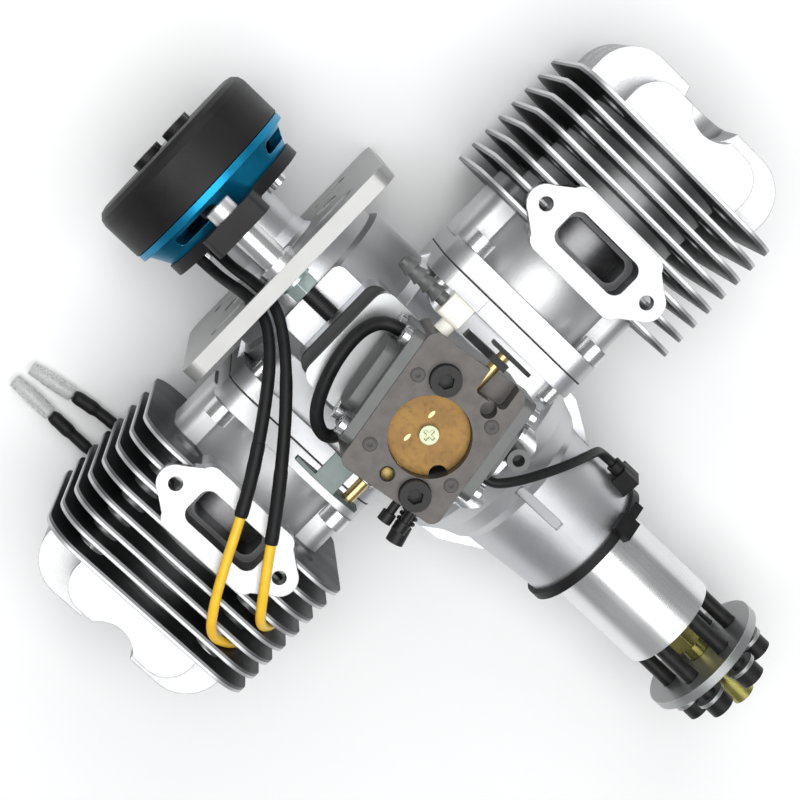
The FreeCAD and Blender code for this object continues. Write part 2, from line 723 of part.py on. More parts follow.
carb_body = carb_block(carb_u0, carb_u1, carb_v0, carb_v1, carb_z0, carb_top_z, 3.0, Z_DIR)
choke_bore_r = choke_plate_r + 0.1
throttle_bore_r = throttle_plate_r + 0.1
bore_profile = [(carb_z0 - 1, 0), (carb_z0 - 1, throttle_bore_r), (throttle_z + 5, throttle_bore_r),
                (throttle_z + 5.6, throttle_bore_r - 1), (choke_z - 6.5, choke_bore_r),
                (carb_top_z + 1, choke_bore_r), (carb_top_z + 1, 0)]
carb_cuts = [turned_z(bore_profile, carb_x, carb_y)]
for p in carb_screw_points:
    carb_cuts.append(rod_z(carb_screw_d / 2 + screw_hole_gap, carb_z0 - 1, carb_top_z + 1, p.x, p.y))
    carb_cuts.append(rod_z(4.4, carb_top_z - 2.0, carb_top_z + 1, p.x, p.y))
choke_y0 = carb_y - 15.5
choke_y1 = 27.2
throttle_y0 = -32.4
throttle_y1 = carb_y + 13.0
carb_cuts.append(rod_y(choke_shaft_d / 2 + running_gap, choke_y0 - clear_gap, choke_y1, carb_x, choke_z))
carb_cuts.append(rod_y(throttle_shaft_d / 2 + running_gap, throttle_y0, throttle_y1 + clear_gap, carb_x, throttle_z))
pocket = carb_block(2.6, 12.2, 16.8, carb_v1 + 1, choke_z - 2.6, carb_top_z + 1, 1.5, Z_DIR)
carb_cuts.append(pocket)
vent = carb_point(8.6, 14.8)
carb_cuts.append(rod_z(2.3, choke_z - 1, carb_top_z + 1, vent.x, vent.y))
plug = carb_point(-3.6, -14.6)
carb_cuts.append(rod_z(2.15, carb_top_z - 1.2, carb_top_z + 1, plug.x, plug.y))
carb_body = carb_body.cut(carb_cuts).removeSplitter()
keep("carburettor_body", carb_body)


# Covers: a flat rim with a raised middle, held by four small screws each
def cover(u_face, sign, v0, v1, z0, z1, raise_h):
    """Side cover standing off the body's side, away from the bore."""
    a, b = sorted((u_face, u_face + sign * cover_t))
    c, d = sorted((u_face + sign * (cover_t - 0.5), u_face + sign * (cover_t + raise_h)))
    rim = carb_block(a, b, v0, v1, z0, z1, 2.5, X_DIR)
    bulge = carb_block(c, d, v0 + 7, v1 - 7, z0 + 4.5, z1 - 4.5, 4.0, X_DIR)
    return rim.fuse(bulge).removeSplitter()


pump_v = (-14.4, 21.7)
metering_v = (-9.2, 23.0)
cover_z = (carb_z0 + 0.4, carb_top_z - 0.4)
pump_raise = 3.4
keep("pump_cover", cover(carb_u0, -1, pump_v[0], pump_v[1], cover_z[0], cover_z[1], pump_raise))
keep("metering_cover", cover(carb_u1, 1, metering_v[0], metering_v[1], cover_z[0], cover_z[1], 2.0))

cover_screws = []
cover_screw_d = 3.0
for u_face, sign, side_v in ((carb_u0 - cover_t, -1, pump_v), (carb_u1 + cover_t, 1, metering_v)):
    for v in (side_v[0] + 3.4, side_v[1] - 3.4):
        for z in (cover_z[0] + 3.4, cover_z[1] - 3.4):
            cover_screws.append(pan_screw(cover_screw_d, 5.4, 2.0, cover_t - 0.4, carb_point(u_face, v, z),
                                          carb_dir(sign, 0)))
for name in ("pump_cover", "metering_cover"):
    holes = [s.copy() for s in cover_screws]
    nodes[name] = nodes[name][0].cut(holes).Solids
keep("cover_screws", *cover_screws)

carb_screws = []
carb_screw_len = carb_top_z - 2.0 - carb_screw_tip_z
for p in carb_screw_points:
    carb_screws.append(cap_screw(carb_screw_d - 0.1, 8.5, 5.0, carb_screw_len, V(p.x, p.y, carb_top_z - 2.0), Z_DIR))
keep("carburettor_screws", *carb_screws)

# Fuel inlet: a nylon block on the side of the body with a ribbed brass-coloured tail
inlet_z = 66.0
inlet_y = 26.6
inlet_x = 38.0
inlet_half = 3.6
inlet = soft_block(inlet_x - inlet_half, inlet_x + inlet_half, inlet_y - inlet_half, inlet_y + inlet_half,
                   inlet_z - inlet_half, inlet_z + inlet_half, 1.4, X_DIR)
foot = carb_point(-13.0, carb_v1)
inlet_foot = Part.makeCylinder(2.4, inlet_y - foot.y, V(foot.x, foot.y + 0.02, inlet_z), Y_DIR)
inlet = inlet.fuse(inlet_foot.cut(carb_body)).removeSplitter()
barb_x1 = inlet_x - inlet_half
barb_x0 = barb_x1 - 16.0
barb_points = [(barb_x1, 1.0), (barb_x1, 1.9)]
for i in range(4):
    x = barb_x1 - 2.5 - 3.3 * i
    barb_points.extend([(x, 1.9), (x, 2.7), (x - 2.0, 2.0)])
barb_points.extend([(barb_x0, 1.8), (barb_x0, 1.0)])
barb = turned_x(barb_points, inlet_y, inlet_z)
vent_x = 79.4
vent_y = 9.2
vent_z = 60.0
nipple = rod_z(3.25, vent_z - 4, vent_z + 7, vent_x, vent_y).cut(rod_z(1.7, vent_z, vent_z + 8, vent_x, vent_y))
stub_root = carb_point(carb_u1 + cover_t + 1.0, 5.0, vent_z)
stub = Part.makeCylinder(2.2, (V(vent_x, vent_y, vent_z) - stub_root).Length, stub_root,
                         V(vent_x, vent_y, vent_z) - stub_root)
nipple = nipple.fuse(stub.cut(rod_z(3.0, vent_z - 3, vent_z + 3, vent_x, vent_y))).cut(nodes["metering_cover"][0])
keep("fuel_inlet", inlet)
keep("hose_tails", barb, nipple.removeSplitter())

# Idle stop screw with its spring, and two mixture needles
idle_dir = V(0.27, -0.963, 0).normalize()
idle_tip = carb_point(10.2, carb_v0 + 1.0, 60.0)
idle_screw = aimed(rod_z(1.9, 0, 7.4).fuse(rod_z(2.6, 7.4, 13.0)), idle_tip, idle_dir)
idle_spring = []
for i in range(3):
    ring = Part.makeTorus(2.35, 0.45, idle_tip + idle_dir * (3.0 + 1.6 * i), idle_dir)
    idle_spring.append(ring)
needles = []
for u in (4.6, 9.4):
    root = carb_point(u, carb_v0 - 0.02, 66.5)
    needles.append(aimed(rod_z(1.3, 0, 4.5).fuse(rod_z(2.1, 4.5, 7.5)), root, carb_dir(0, -1)))
idle_screw = idle_screw.cut(carb_body)
keep("adjusting_screws", idle_screw, *idle_spring, *[n.cut(carb_body) for n in needles])


# Choke and throttle: a disc on a spindle, with its levers
def butterfly(r, z, shaft_d, t):
    """Flat disc across the bore."""
    return rod_z(r, z - t / 2, z + t / 2, carb_x, carb_y)


choke_disc = butterfly(choke_plate_r, choke_z + choke_shaft_d / 4, choke_shaft_d, butterfly_t)
choke_notch = rod_z(2.6, choke_z - 5, choke_z + 5, carb_x + 9.6, carb_y - 6.2)
choke_spindle = rod_y(choke_shaft_d / 2, choke_y0, choke_y1, carb_x, choke_z)
choke_flat = block(carb_x - 3, carb_x + 3, carb_y - choke_plate_r - 0.3, carb_y + choke_plate_r + 0.3,
                   choke_z + choke_shaft_d / 4 - butterfly_t / 2, choke_z + 4)
choke_spindle = choke_spindle.cut(choke_flat)
choke_screw = pan_screw(2.4, 5.4, 1.6, butterfly_t + 1.0,
                        V(carb_x, carb_y, choke_z + choke_shaft_d / 4 + butterfly_t / 2), Z_DIR)
choke_disc = choke_disc.cut(choke_notch).cut(choke_screw)
choke_spindle = choke_spindle.cut(choke_screw)
keep("choke_disc", choke_disc, choke_screw)
keep("choke_spindle", choke_spindle)
lever_t = 1.2
clip_y1 = choke_y1 + lever_t
clip = prism([V(carb_x - 4.8, choke_y1, choke_z - 2.6), V(carb_x + 7.0, choke_y1, choke_z - 2.2),
              V(carb_x + 9.0, choke_y1, choke_z), V(carb_x + 7.0, choke_y1, choke_z + 2.2),
              V(carb_x - 4.8, choke_y1, choke_z + 2.6)], V(0, lever_t, 0))
arm_y1 = choke_y1 - 1.4
arm_y0 = arm_y1 - 2.2
choke_arm = prism([V(carb_x + 2.6, arm_y0, choke_z - 2.6), V(carb_x + 2.6, arm_y0, choke_z + 2.6),
                   V(carb_x - 3.0, arm_y0, choke_z + 2.8), V(carb_x - 12.5, arm_y0, choke_z + 5.0),
                   V(carb_x - 12.5, arm_y0, choke_z + 1.6), V(carb_x - 3.0, arm_y0, choke_z - 2.8)],
                  V(0, arm_y1 - arm_y0, 0))
choke_arm = choke_arm.cut(rod_y(choke_shaft_d / 2, arm_y0 - 1, arm_y1 + 1, carb_x, choke_z))
keep("choke_levers", clip, choke_arm)

throttle_disc = butterfly(throttle_plate_r, throttle_z + throttle_shaft_d / 4, throttle_shaft_d, butterfly_t)
throttle_spindle = rod_y(throttle_shaft_d / 2, throttle_y0, throttle_y1, carb_x, throttle_z)
throttle_flat = block(carb_x - 3, carb_x + 3, carb_y - throttle_plate_r - 0.3, carb_y + throttle_plate_r + 0.3,
                      throttle_z + throttle_shaft_d / 4 - butterfly_t / 2, throttle_z + 4)
throttle_spindle = throttle_spindle.cut(throttle_flat)
keep("throttle_disc", throttle_disc)
keep("throttle_spindle", throttle_spindle)
throttle_lever_y0 = throttle_y0 - lever_t
throttle_lever = prism([V(carb_x + 3.6, throttle_lever_y0, throttle_z + 3.0),
                        V(carb_x + 3.6, throttle_lever_y0, throttle_z - 3.0),
                        V(carb_x - 4.0, throttle_lever_y0, throttle_z - 3.4),
                        V(carb_x - 19.0, throttle_lever_y0, throttle_z + 1.6),
                        V(carb_x - 19.0, throttle_lever_y0, throttle_z + 4.6),
                        V(carb_x - 12.5, throttle_lever_y0, throttle_z + 6.4),
                        V(carb_x - 5.0, throttle_lever_y0, throttle_z + 6.4)], V(0, lever_t, 0))
throttle_tab = block(carb_x - 12.5, carb_x - 5.0, throttle_y0 - 0.2, throttle_y0 + 8.2,
                     throttle_z + 5.2, throttle_z + 6.4)
throttle_lever = throttle_lever.fuse(throttle_tab)
throttle_lever = throttle_lever.cut(rod_y(1.1, throttle_lever_y0 - 1, throttle_y0 + 1, carb_x - 16.5, throttle_z + 3.0))
throttle_lever = throttle_lever.removeSplitter()
keep("throttle_lever", throttle_lever)
spring_coils = []
for i in range(3):
    coil_y = carb_y + (carb_v0 - 2.0) * math.cos(turn) - 1.25 * i
    spring_coils.append(Part.makeTorus(2.5, 0.5, V(carb_x, coil_y, throttle_z), Y_DIR))
keep("throttle_spring", *spring_coils)

# Crankshaft: webs and journals in one piece, tail shaft to the rear, drive cone to the front
rotor_hub_x1 = rotor_x0 + rotor_wall
tail_end_x = rotor_x0
front_shaft_r = front_journal_d / 2
crank_pieces = [rod_x(tail_shaft_d / 2, tail_end_x, rear_bearing_x0 + 1),
                rod_x(rear_journal_d / 2, rear_bearing_x0 + clear_gap, rear_web_x0 + 1),
                rod_x(web_r, rear_web_x0, left_gap_x0),
                rod_x(web_r, left_gap_x1, right_gap_x0),
                rod_x(web_r, right_gap_x1, front_web_x1),
                rod_x(front_shaft_r, front_web_x1 - 1, hub_x0 + 4)]
keep("crankshaft", joined(crank_pieces[:3]), crank_pieces[3], joined(crank_pieces[4:]))

# Pistons, rings, pins and rods of the right bank, all at the top of the stroke
piston_r = bore_d / 2 - piston_gap
crown_y = pin_top_y + crown_height
skirt_y = pin_top_y - skirt_below_pin
piston = rod_y(piston_r, skirt_y, crown_y, right_x)
piston = piston.cut(rod_y(piston_r - 2.6, skirt_y - 1, crown_y - 4, right_x))
boss = rod_x(wrist_pin_d / 2 + 3, right_x - piston_r + 2, right_x + piston_r - 2, pin_top_y, 0)
boss = boss.cut(block(right_x - rod_t / 2 - 0.8, right_x + rod_t / 2 + 0.8, 0, 200, -20, 20))
piston = piston.fuse(boss.common(rod_y(piston_r - 1, skirt_y, crown_y, right_x)))
piston = piston.cut(rod_x(wrist_pin_d / 2 + 0.02, right_x - 30, right_x + 30, pin_top_y, 0))
ring_ys = (crown_y - 3.4, crown_y - 6.6)
for y in ring_ys:
    groove_ring = rod_y(piston_r + 1, y, y + ring_h, right_x).cut(rod_y(piston_r - ring_depth, y, y + ring_h, right_x))
    piston = piston.cut(groove_ring)
keep("piston_right", piston.removeSplitter())
keep("piston_left", mirrored(piston.removeSplitter()))
rings = []
for y in ring_ys:
    ring = rod_y(bore_d / 2 - 0.02, y + 0.03, y + ring_h - 0.03, right_x)
    ring = ring.cut(rod_y(piston_r - ring_depth + 0.1, y, y + ring_h, right_x))
    rings.append(ring.cut(block(right_x - 0.3, right_x + 0.3, 0, 200, -30, 0)))
keep("piston_rings_right", *rings)
keep("piston_rings_left", *[mirrored(r) for r in rings])
pin_half = piston_r - 3.0
wrist_pin = rod_x(wrist_pin_d / 2, right_x - pin_half, right_x + pin_half, pin_top_y, 0)
wrist_pin = wrist_pin.cut(rod_x(wrist_pin_d / 2 - 2, right_x - 30, right_x + 30, pin_top_y, 0))
keep("wrist_pin_right", wrist_pin)
keep("wrist_pin_left", mirrored(wrist_pin))

rod_x0 = right_x - rod_t / 2
rod_x1 = right_x + rod_t / 2
shank = prism([V(rod_x0, crank_r + 7, -rod_web_w / 2 - 1), V(rod_x0, pin_top_y - 5, -rod_web_w / 2 + 1),
               V(rod_x0, pin_top_y - 5, rod_web_w / 2 - 1), V(rod_x0, crank_r + 7, rod_web_w / 2 + 1)], V(rod_t, 0, 0))
conrod = joined([rod_x(small_end_d / 2, rod_x0, rod_x1, pin_top_y, 0), rod_x(big_end_d / 2, rod_x0, rod_x1, crank_r, 0),
                 shank])
for x0, x1 in ((rod_x0 - 1, rod_x0 + 1.6), (rod_x1 - 1.6, rod_x1 + 1)):
    conrod = conrod.cut(block(x0, x1, crank_r + big_end_d / 2 + 2.5, pin_top_y - small_end_d / 2 - 2.5, -2.2, 2.2))
conrod = conrod.cut(rod_x(wrist_pin_d / 2 + running_gap, rod_x0 - 1, rod_x1 + 1, pin_top_y, 0))
conrod = conrod.cut(rod_x(crankpin_d / 2 + 0.02, rod_x0 - 1, rod_x1 + 1, crank_r, 0)).removeSplitter()
keep("conrod_right", conrod)
keep("conrod_left", mirrored(conrod))
crankpin = rod_x(crankpin_d / 2, right_x - big_end_w / 2, right_x + big_end_w / 2, crank_r, 0)
keep("crankpin_right", crankpin)
keep("crankpin_left", mirrored(crankpin))

# Propeller drive: hub, washer, six screws and the centre stud
hub = turned_x([(hub_x0, 0), (hub_x0, hub_d / 2 - 0.6), (hub_x0 + 0.6, hub_d / 2), (hub_x1, hub_d / 2), (hub_x1, 0)])
hub = hub.cut(rod_z(1.5, hub_d / 2 - 1.0, hub_d / 2 + 1, hub_x0 + 3.6, 2.4))
hub = hub.cut(rod_x(front_shaft_r + 0.02, hub_x0 - 1, hub_x0 + 4))
washer_x0 = hub_x1 + prop_gap
washer_x1 = washer_x0 + prop_washer_t
washer = rod_x(prop_washer_d / 2, washer_x0, washer_x1)
prop_angles = [30 + i * 360 / prop_screw_count for i in range(prop_screw_count)]
prop_hole_r = prop_screw_d / 2 + screw_hole_gap
screw_tip_x = hub_x1 - 10.0
for angle in prop_angles:
    washer = washer.cut(around_x(rod_x(prop_hole_r, washer_x0 - 1, washer_x1 + 1, 0, prop_screw_pcd / 2), angle))
    hub = hub.cut(around_x(rod_x(prop_screw_d / 2, screw_tip_x - 0.6, hub_x1 + 1, 0, prop_screw_pcd / 2), angle))
stud_x1 = washer_x1 + stud_proud
stud_root_x = hub_x1 - 9.0
washer = washer.cut(rod_x(stud_d / 2 + screw_hole_gap, washer_x0 - 1, washer_x1 + 1))
seat_x1 = washer_x1 + prop_screw_stand + plain_washer_t
plain_washer = rod_x(plain_washer_d / 2, seat_x1 - plain_washer_t, seat_x1, 0, prop_screw_pcd / 2)
plain_washer = plain_washer.cut(rod_x(prop_screw_d / 2, seat_x1 - 5, seat_x1 + 1, 0, prop_screw_pcd / 2))
hub = hub.cut(rod_x(stud_waist_d / 2 + 0.02, stud_root_x - 0.5, hub_x1 + 1))
hub = hub.cut(rod_x(stud_recess_r, hub_x1 - stud_recess, hub_x1 + 1))
keep("prop_hub", hub.removeSplitter())
keep("prop_washer", washer, *[around_x(plain_washer, a) for a in prop_angles])
prop_screw = cap_screw(prop_screw_d - 0.1, prop_screw_head_d, 5.0, seat_x1 - screw_tip_x,
                       V(seat_x1, 0, prop_screw_pcd / 2), X_DIR)
keep("prop_screws", *[around_x(prop_screw, a) for a in prop_angles])
stud = rod_x(stud_waist_d / 2, stud_root_x, washer_x1).fuse(rod_x(stud_d / 2, washer_x1, stud_x1))
stud_hex_depth = 3.5
stud = stud.cut(aimed(hexagon(4.0, 6.0), V(stud_x1 - stud_hex_depth, 0, 0), X_DIR))
sleeve = aimed(hexagon(stud_sleeve_d, stud_hex_length + stud_recess), V(hub_x1 - stud_recess, 0, 0), X_DIR)
keep("prop_stud", stud.fuse(sleeve).removeSplitter())

# Starter-generator: arm plate on two posts, stator can, wound core, rotor bell
arm_plate = rod_x(25.0, arm_plate_x0, arm_plate_x1)
for side in (-1, 1):
    arm_plate = arm_plate.fuse(rod_x(arm_boss_r, arm_plate_x0, arm_boss_x1, 0, side * post_circle_r))
    low, high = sorted((0, side * post_circle_r))
    arm_plate = arm_plate.fuse(block(arm_plate_x0, arm_plate_x1, -arm_boss_r, arm_boss_r, low, high))
arm_cuts = [rod_x(tail_shaft_d / 2 + 1.5, arm_plate_x0 - 1, arm_plate_x1 + 1)]
for side in (-1, 1):
    arm_cuts.append(rod_x(post_hole_r, arm_plate_x0 - 1, arm_boss_x1 + 1, 0, side * post_circle_r))
    arm_cuts.append(rod_x(1.6, arm_plate_x0 - 1, arm_plate_x1 + 1, side * 15.0, 0))
arm_cuts.append(soft_block(arm_plate_x0 - 1, arm_plate_x1 + 1, -19.0, -8.6, 8.5, 15.5, 2.0, X_DIR))
arm_reach = fin_half_z - 0.1
arm_plate = arm_plate.common(block(arm_plate_x0, arm_boss_x1, -stator_can_r, stator_can_r, -arm_reach, arm_reach))
arm_plate = arm_plate.cut(arm_cuts).removeSplitter()
keep("stator_plate", arm_plate)

posts = []
bolts = []
nuts = []
post_bolt_x1 = plate_t + 15.0
nut_x0 = plate_t + 1.0
for side in (-1, 1):
    z = side * post_circle_r
    post = rod_x(post_d / 2, arm_boss_x1, 0, 0, z).fuse(rod_x(post_collar_d / 2, -post_collar_t, 0, 0, z))
    posts.append(post.cut(rod_x(post_hole_r, arm_boss_x1 - 1, 1, 0, z)).removeSplitter())
    bolts.append(cap_screw(post_screw_d - 0.1, 8.5, 4.0, post_bolt_x1 - arm_plate_x0, V(arm_plate_x0, 0, z), X_DIR * -1))
    spacer = rod_x(5.0, plate_t, nut_x0, 0, z).cut(rod_x(post_screw_d / 2, plate_t - 1, nut_x0 + 1, 0, z))
    nut = aimed(hexagon(8.0, 4.0), V(nut_x0, 0, z), X_DIR)
    nut.rotate(V(0, 0, z), X_DIR, 0)
    nut = nut.cut(rod_x(post_screw_d / 2, nut_x0 - 1, nut_x0 + 5, 0, z))
    nuts.extend([spacer, nut])
keep("rear_posts", *posts)
keep("post_bolts", *bolts)
keep("post_nuts", *nuts)

can = turned_x([(stator_can_x0, core_r + 1.0), (stator_can_x0, stator_can_r), (stator_can_x0 + 2.2, stator_can_r),
                (stator_can_x0 + 2.2, stator_can_r - 1.8), (arm_plate_x0, stator_can_rear_r), (arm_plate_x0, 5.8),
                (arm_plate_x0 - stator_can_wall, 5.8), (arm_plate_x0 - stator_can_wall, stator_can_rear_r - 4),
                (stator_can_x0 + 2.0, core_r + 1.0)])
can_windows = []
for angle in (20, 110, 200, 290):
    window = soft_block(stator_can_x0 + 3.4, arm_plate_x0 - stator_can_wall - 0.2, -8.5, 8.5, 15, 40, 1.4, Z_DIR)
    can_windows.append(around_x(window, angle))
for y in (-15.0, 15.0):
    can_windows.append(rod_x(1.5, arm_plate_x0 - 4, arm_plate_x0 + 1, y, 0))
can = can.cut(can_windows).removeSplitter()
keep("stator_housing", can)

core_x0 = rotor_x0 + rotor_wall + 2.4
core_x1 = stator_can_x0 - 0.4
tube_r = 8.0
core = rod_x(13.0, core_x0, core_x1).fuse(rod_x(tube_r, core_x0, arm_plate_x0 - stator_can_wall))
teeth = []
for i in range(core_teeth):
    tooth = block(core_x0, core_x1, -1.6, 1.6, 10, core_r - 1.5)
    tip = rod_x(core_r, core_x0, core_x1).cut(rod_x(core_r - 1.8, core_x0 - 1, core_x1 + 1))
    tip = tip.common(block(core_x0, core_x1, -4.6, 4.6, 10, 40))
    teeth.append(around_x(tooth.fuse(tip), i * 360 / core_teeth))
core = core.fuse(teeth).cut(rod_x(tail_shaft_d / 2 + 1.5, core_x0 - 1, arm_plate_x0)).removeSplitter()
keep("stator_core", core)
coils = []
coil_x0 = core_x0 - 1.6
coil_x1 = core_x1 + 1.6
for i in range(core_teeth):
    coil = soft_block(coil_x0, coil_x1, -3.1, 3.1, 13.6, core_r - 2.4, 1.2, Z_DIR)
    coil = coil.cut(block(core_x0, core_x1, -1.6, 1.6, 10, 40))
    coils.append(around_x(coil, i * 360 / core_teeth))
keep("stator_windings", *coils)
stator_screws = []
for y in (-15.0, 15.0):
    stator_screws.append(cap_screw(2.9, 5.5, 3.0, arm_plate_x1 - arm_plate_x0 + 1.9, V(arm_plate_x1, y, 0), X_DIR))
keep("stator_screws", *stator_screws)

bell_edge = []
for a in (0, 30, 60, 90):
    bell_edge.append((rotor_x0 + 4.0 - 4.0 * math.sin(math.radians(a)), rotor_r - 4.0 + 4.0 * math.cos(math.radians(a))))
bell_edge.reverse()
bell_in_r = rotor_r - rotor_wall
bell = turned_x([(rotor_x0, tail_shaft_d / 2 + 0.02)] + bell_edge
                + [(rotor_x1, rotor_r), (rotor_x1, bell_in_r), (rotor_x0 + rotor_wall, bell_in_r),
                   (rotor_x0 + rotor_wall, 6.5), (rotor_x0 + rotor_wall + 2.0, 6.5),
                   (rotor_x0 + rotor_wall + 2.0, tail_shaft_d / 2 + 0.02)])
keep("rotor_bell", bell)
magnet_ring = rod_x(bell_in_r, rotor_x0 + rotor_wall + 0.6, rotor_x1 - 0.6)
magnet_ring = magnet_ring.cut(rod_x(bell_in_r - magnet_t, rotor_x0 + rotor_wall, rotor_x1))
magnets = []
for i in range(14):
    gap = around_x(block(rotor_x0, rotor_x1, -0.35, 0.35, 10, 40), i * 360 / 14)
    magnet_ring = magnet_ring.cut(gap)
keep("rotor_magnets", magnet_ring)
rotor_screws = []
for y, z in ((-6.0, -6.0), (-6.0, 6.0), (6.0, -6.0), (6.0, 6.0)):
    rotor_screws.append(pan_screw(3.0, 9.0, 2.2, rotor_wall, V(rotor_x0, y, z), X_DIR * -1))
nodes["rotor_bell"] = bell.cut([s.copy() for s in rotor_screws]).Solids
keep("rotor_screws", *rotor_screws)

# Crank position sensor strapped to the snout
strap_x = 129.0
strap_w = 2.8
strap_in_r = 21.4
strap_t = 1.1
strap = turned_x([(strap_x - strap_w / 2, snout_front_r - 1), (strap_x - strap_w / 2, strap_in_r + strap_t),
                  (strap_x + strap_w / 2, strap_in_r + strap_t), (strap_x + strap_w / 2, snout_front_r - 1)])
strap = strap.cut(front_half)
strap_head = block(strap_x - 3, strap_x + 3, -3.4, 3.4, strap_in_r + strap_t - 0.2, strap_in_r + strap_t + 3.0)
strap_tail = block(strap_x - strap_w / 2, strap_x + strap_w / 2, 3.0, 9.0, strap_in_r + strap_t + 0.6,
                   strap_in_r + strap_t + 1.8)
strap_lock = around_x(strap_head.fuse(strap_tail), -34)
keep("sensor_strap", strap.fuse(strap_lock).removeSplitter())


def straight_and_arcs(points):
    """Path of straight runs joined by tangent arcs, and the radius of each arc."""
    edges = []
    radii = []
    start = points[0]
    for i in range(1, len(points) - 1):
        before = points[i] - points[i - 1]
        after = points[i + 1] - points[i]
        run = min(before.Length, after.Length)
        a = before.normalize()
        b = after.normalize()
        half_turn = a.getAngle(b) / 2
        radius = 0.45 * run / math.tan(half_turn)
        radii.append(round(radius, 1))
        reach = 0.45 * run
        arc_start = points[i] - a * reach
        arc_end = points[i] + b * reach
        inward = (b - a).normalize()
        centre = points[i] + inward * (radius / math.cos(half_turn))
        middle = centre - inward * radius
        edges.append(Part.LineSegment(start, arc_start).toShape())
        edges.append(Part.Arc(arc_start, middle, arc_end).toShape())
        start = arc_end
    edges.append(Part.LineSegment(start, points[-1]).toShape())
    return Part.Wire(edges), radii


def tube(name, points, diameter):
    """Round cord along the route, stored as one piece."""
    path, radii = straight_and_arcs([V(*p) for p in points])
    heading = V(*points[1]) - V(*points[0])
    ring = Part.Wire(Part.makeCircle(diameter / 2, V(*points[0]), heading))
    solid = path.makePipeShell([ring], True, True)
    section = math.pi * diameter ** 2 / 4
    print(name, "length", round(path.Length, 1), "volume ratio", round(solid.Volume / (section * path.Length), 4),
          "radii", radii)
    keep(name, solid)
    return path.Length


sensor = block(strap_x - 9.5, strap_x - 3.4, -4.0, 4.0, snout_front_r - 2, snout_front_r + 6.2)
sensor = sensor.fuse(rod_x(2.4, strap_x - 12.5, strap_x - 5, 0, snout_front_r + 4.0)).removeSplitter()
sensor_turn = -76.0
sensor = around_x(sensor, sensor_turn).cut(front_half)
keep("ignition_sensor", sensor)

turn_sensor = math.radians(-sensor_turn)
sensor_mid_r = snout_front_r + 4.0
sensor_exit = (strap_x - 12.5, sensor_mid_r * math.sin(turn_sensor), sensor_mid_r * math.cos(turn_sensor))
sensor_cable_route = [sensor_exit, (110.8, sensor_exit[1], sensor_exit[2]), (107.6, 22.8, 14.5),
                      (102.0, 15.6, 24.5), (96.3, 7.6, 30.0), (90.5, 0.0, 33.6), (86.0, -4.0, 34.2), (pad_x1, -4.0, 34.2)]
tube("sensor_cable", sensor_cable_route, cable_d)

# Impulse hose from the case pad round the back of the carburettor to the pump cover
hose_end = carb_point(carb_u0 - cover_t, 17.4, 56.0)
hose_near = carb_point(carb_u0 - cover_t - 4.5, 17.4, 56.0)
hose_route = [(43.5, -pad_half_y - 1, 44.0), (43.5, -22.5, 44.0), (39.5, -25.4, 45.2), (33.2, -21.8, 48.0),
              (28.4, -12.5, 50.4), (25.9, -3.0, 51.6), (25.6, 6.0, 53.6), tuple(hose_near), tuple(hose_end)]
tube("impulse_hose", hose_route, hose_d)

# Starter leads: out of the stator plate, through the mounting plate, over the exhaust
# flange, down into a fin gap, under the barrel and out at the rear side of the fins
gap_a_y = -(first_fin_y + 5.5 * fin_pitch)
gap_b_y = -(first_fin_y + 3.5 * fin_pitch)
bullet_z = -fin_half_z + bullet_d / 2 + 0.1
wall_x = arm_plate_x0
lead_a_route = [(wall_x, -16.2, 12.0), (-13.5, -16.2, 12.0), (-8.0, -15.2, 18.5), (-2.0, -13.0, 27.3),
                (6.5, -12.8, 32.6), (15.5, -20.5, 39.0), (25.5, -34.5, 43.2), (34.0, -48.0, 45.6),
                (40.5, -60.5, 46.2), (46.0, -72.0, 46.4), (51.5, -82.0, 45.6), (57.5, gap_a_y, 41.5),
                (65.0, gap_a_y, 33.0), (70.5, gap_a_y, 19.0), (72.0, gap_a_y, 3.0), (68.0, gap_a_y, -14.0),
                (57.5, gap_a_y, -26.5), (42.0, gap_a_y, -32.0), (24.0, gap_a_y, -33.0), (6.0, gap_a_y, -34.2),
                (-5.0, gap_a_y - 0.1, bullet_z), (-14.0, gap_a_y + 0.1, bullet_z)]
lead_b_route = [(wall_x, -11.4, 12.0), (-13.5, -11.4, 12.0), (-8.0, -10.8, 18.5), (-2.0, -8.7, 27.4),
                (6.5, -8.6, 32.8), (16.0, -15.0, 39.4), (27.5, -27.0, 43.8), (38.0, -40.0, 46.0),
                (46.5, -51.5, 46.8), (54.0, -62.5, 46.8), (60.5, -71.5, 45.4), (66.0, gap_b_y, 41.0),
                (71.0, gap_b_y, 30.0), (73.0, gap_b_y, 15.0), (72.0, gap_b_y, -1.0), (66.5, gap_b_y, -16.5),
                (55.0, gap_b_y, -27.8), (39.0, gap_b_y, -32.2), (22.0, gap_b_y, -33.5), (5.0, gap_b_y, -34.1),
                (-5.0, gap_b_y - 0.7, bullet_z), (-13.0, gap_b_y - 2.1, bullet_z)]
length_a = tube("lead_a", lead_a_route, lead_d)
length_b = tube("lead_b", lead_b_route, lead_d)
bullets = []
for route in (lead_a_route, lead_b_route):
    end = V(*route[-1])
    heading = (end - V(*route[-2])).normalize()
    bullet = rod_z(bullet_d / 2, 0, 11.0).fuse(rod_z(1.9, 11.0, 15.5)).fuse(rod_z(2.1, 0, 1))
    bullets.append(aimed(bullet.removeSplitter(), end, heading))
keep("lead_connectors", *bullets)

# Every piece goes to its own file
os.makedirs("parts", exist_ok=True)
for name, solids in nodes.items():
    for number, solid in enumerate(solids):
        if not solid.isValid() or solid.Volume < 0.01:
            print("bad solid", name, number, solid.isValid(), round(solid.Volume, 3))
    shape = solids[0] if len(solids) == 1 else Part.makeCompound(solids)
    shape.exportStep("parts/" + name + ".step")
print(len(nodes), "nodes,", sum(len(s) for s in nodes.values()), "solids")
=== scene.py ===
"""Looks of a flat twin aircraft engine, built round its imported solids. All sizes are in metres.

X runs along the crank to the propeller end, Y along the right cylinder, Z up to the carburettor.
"""
from __future__ import annotations

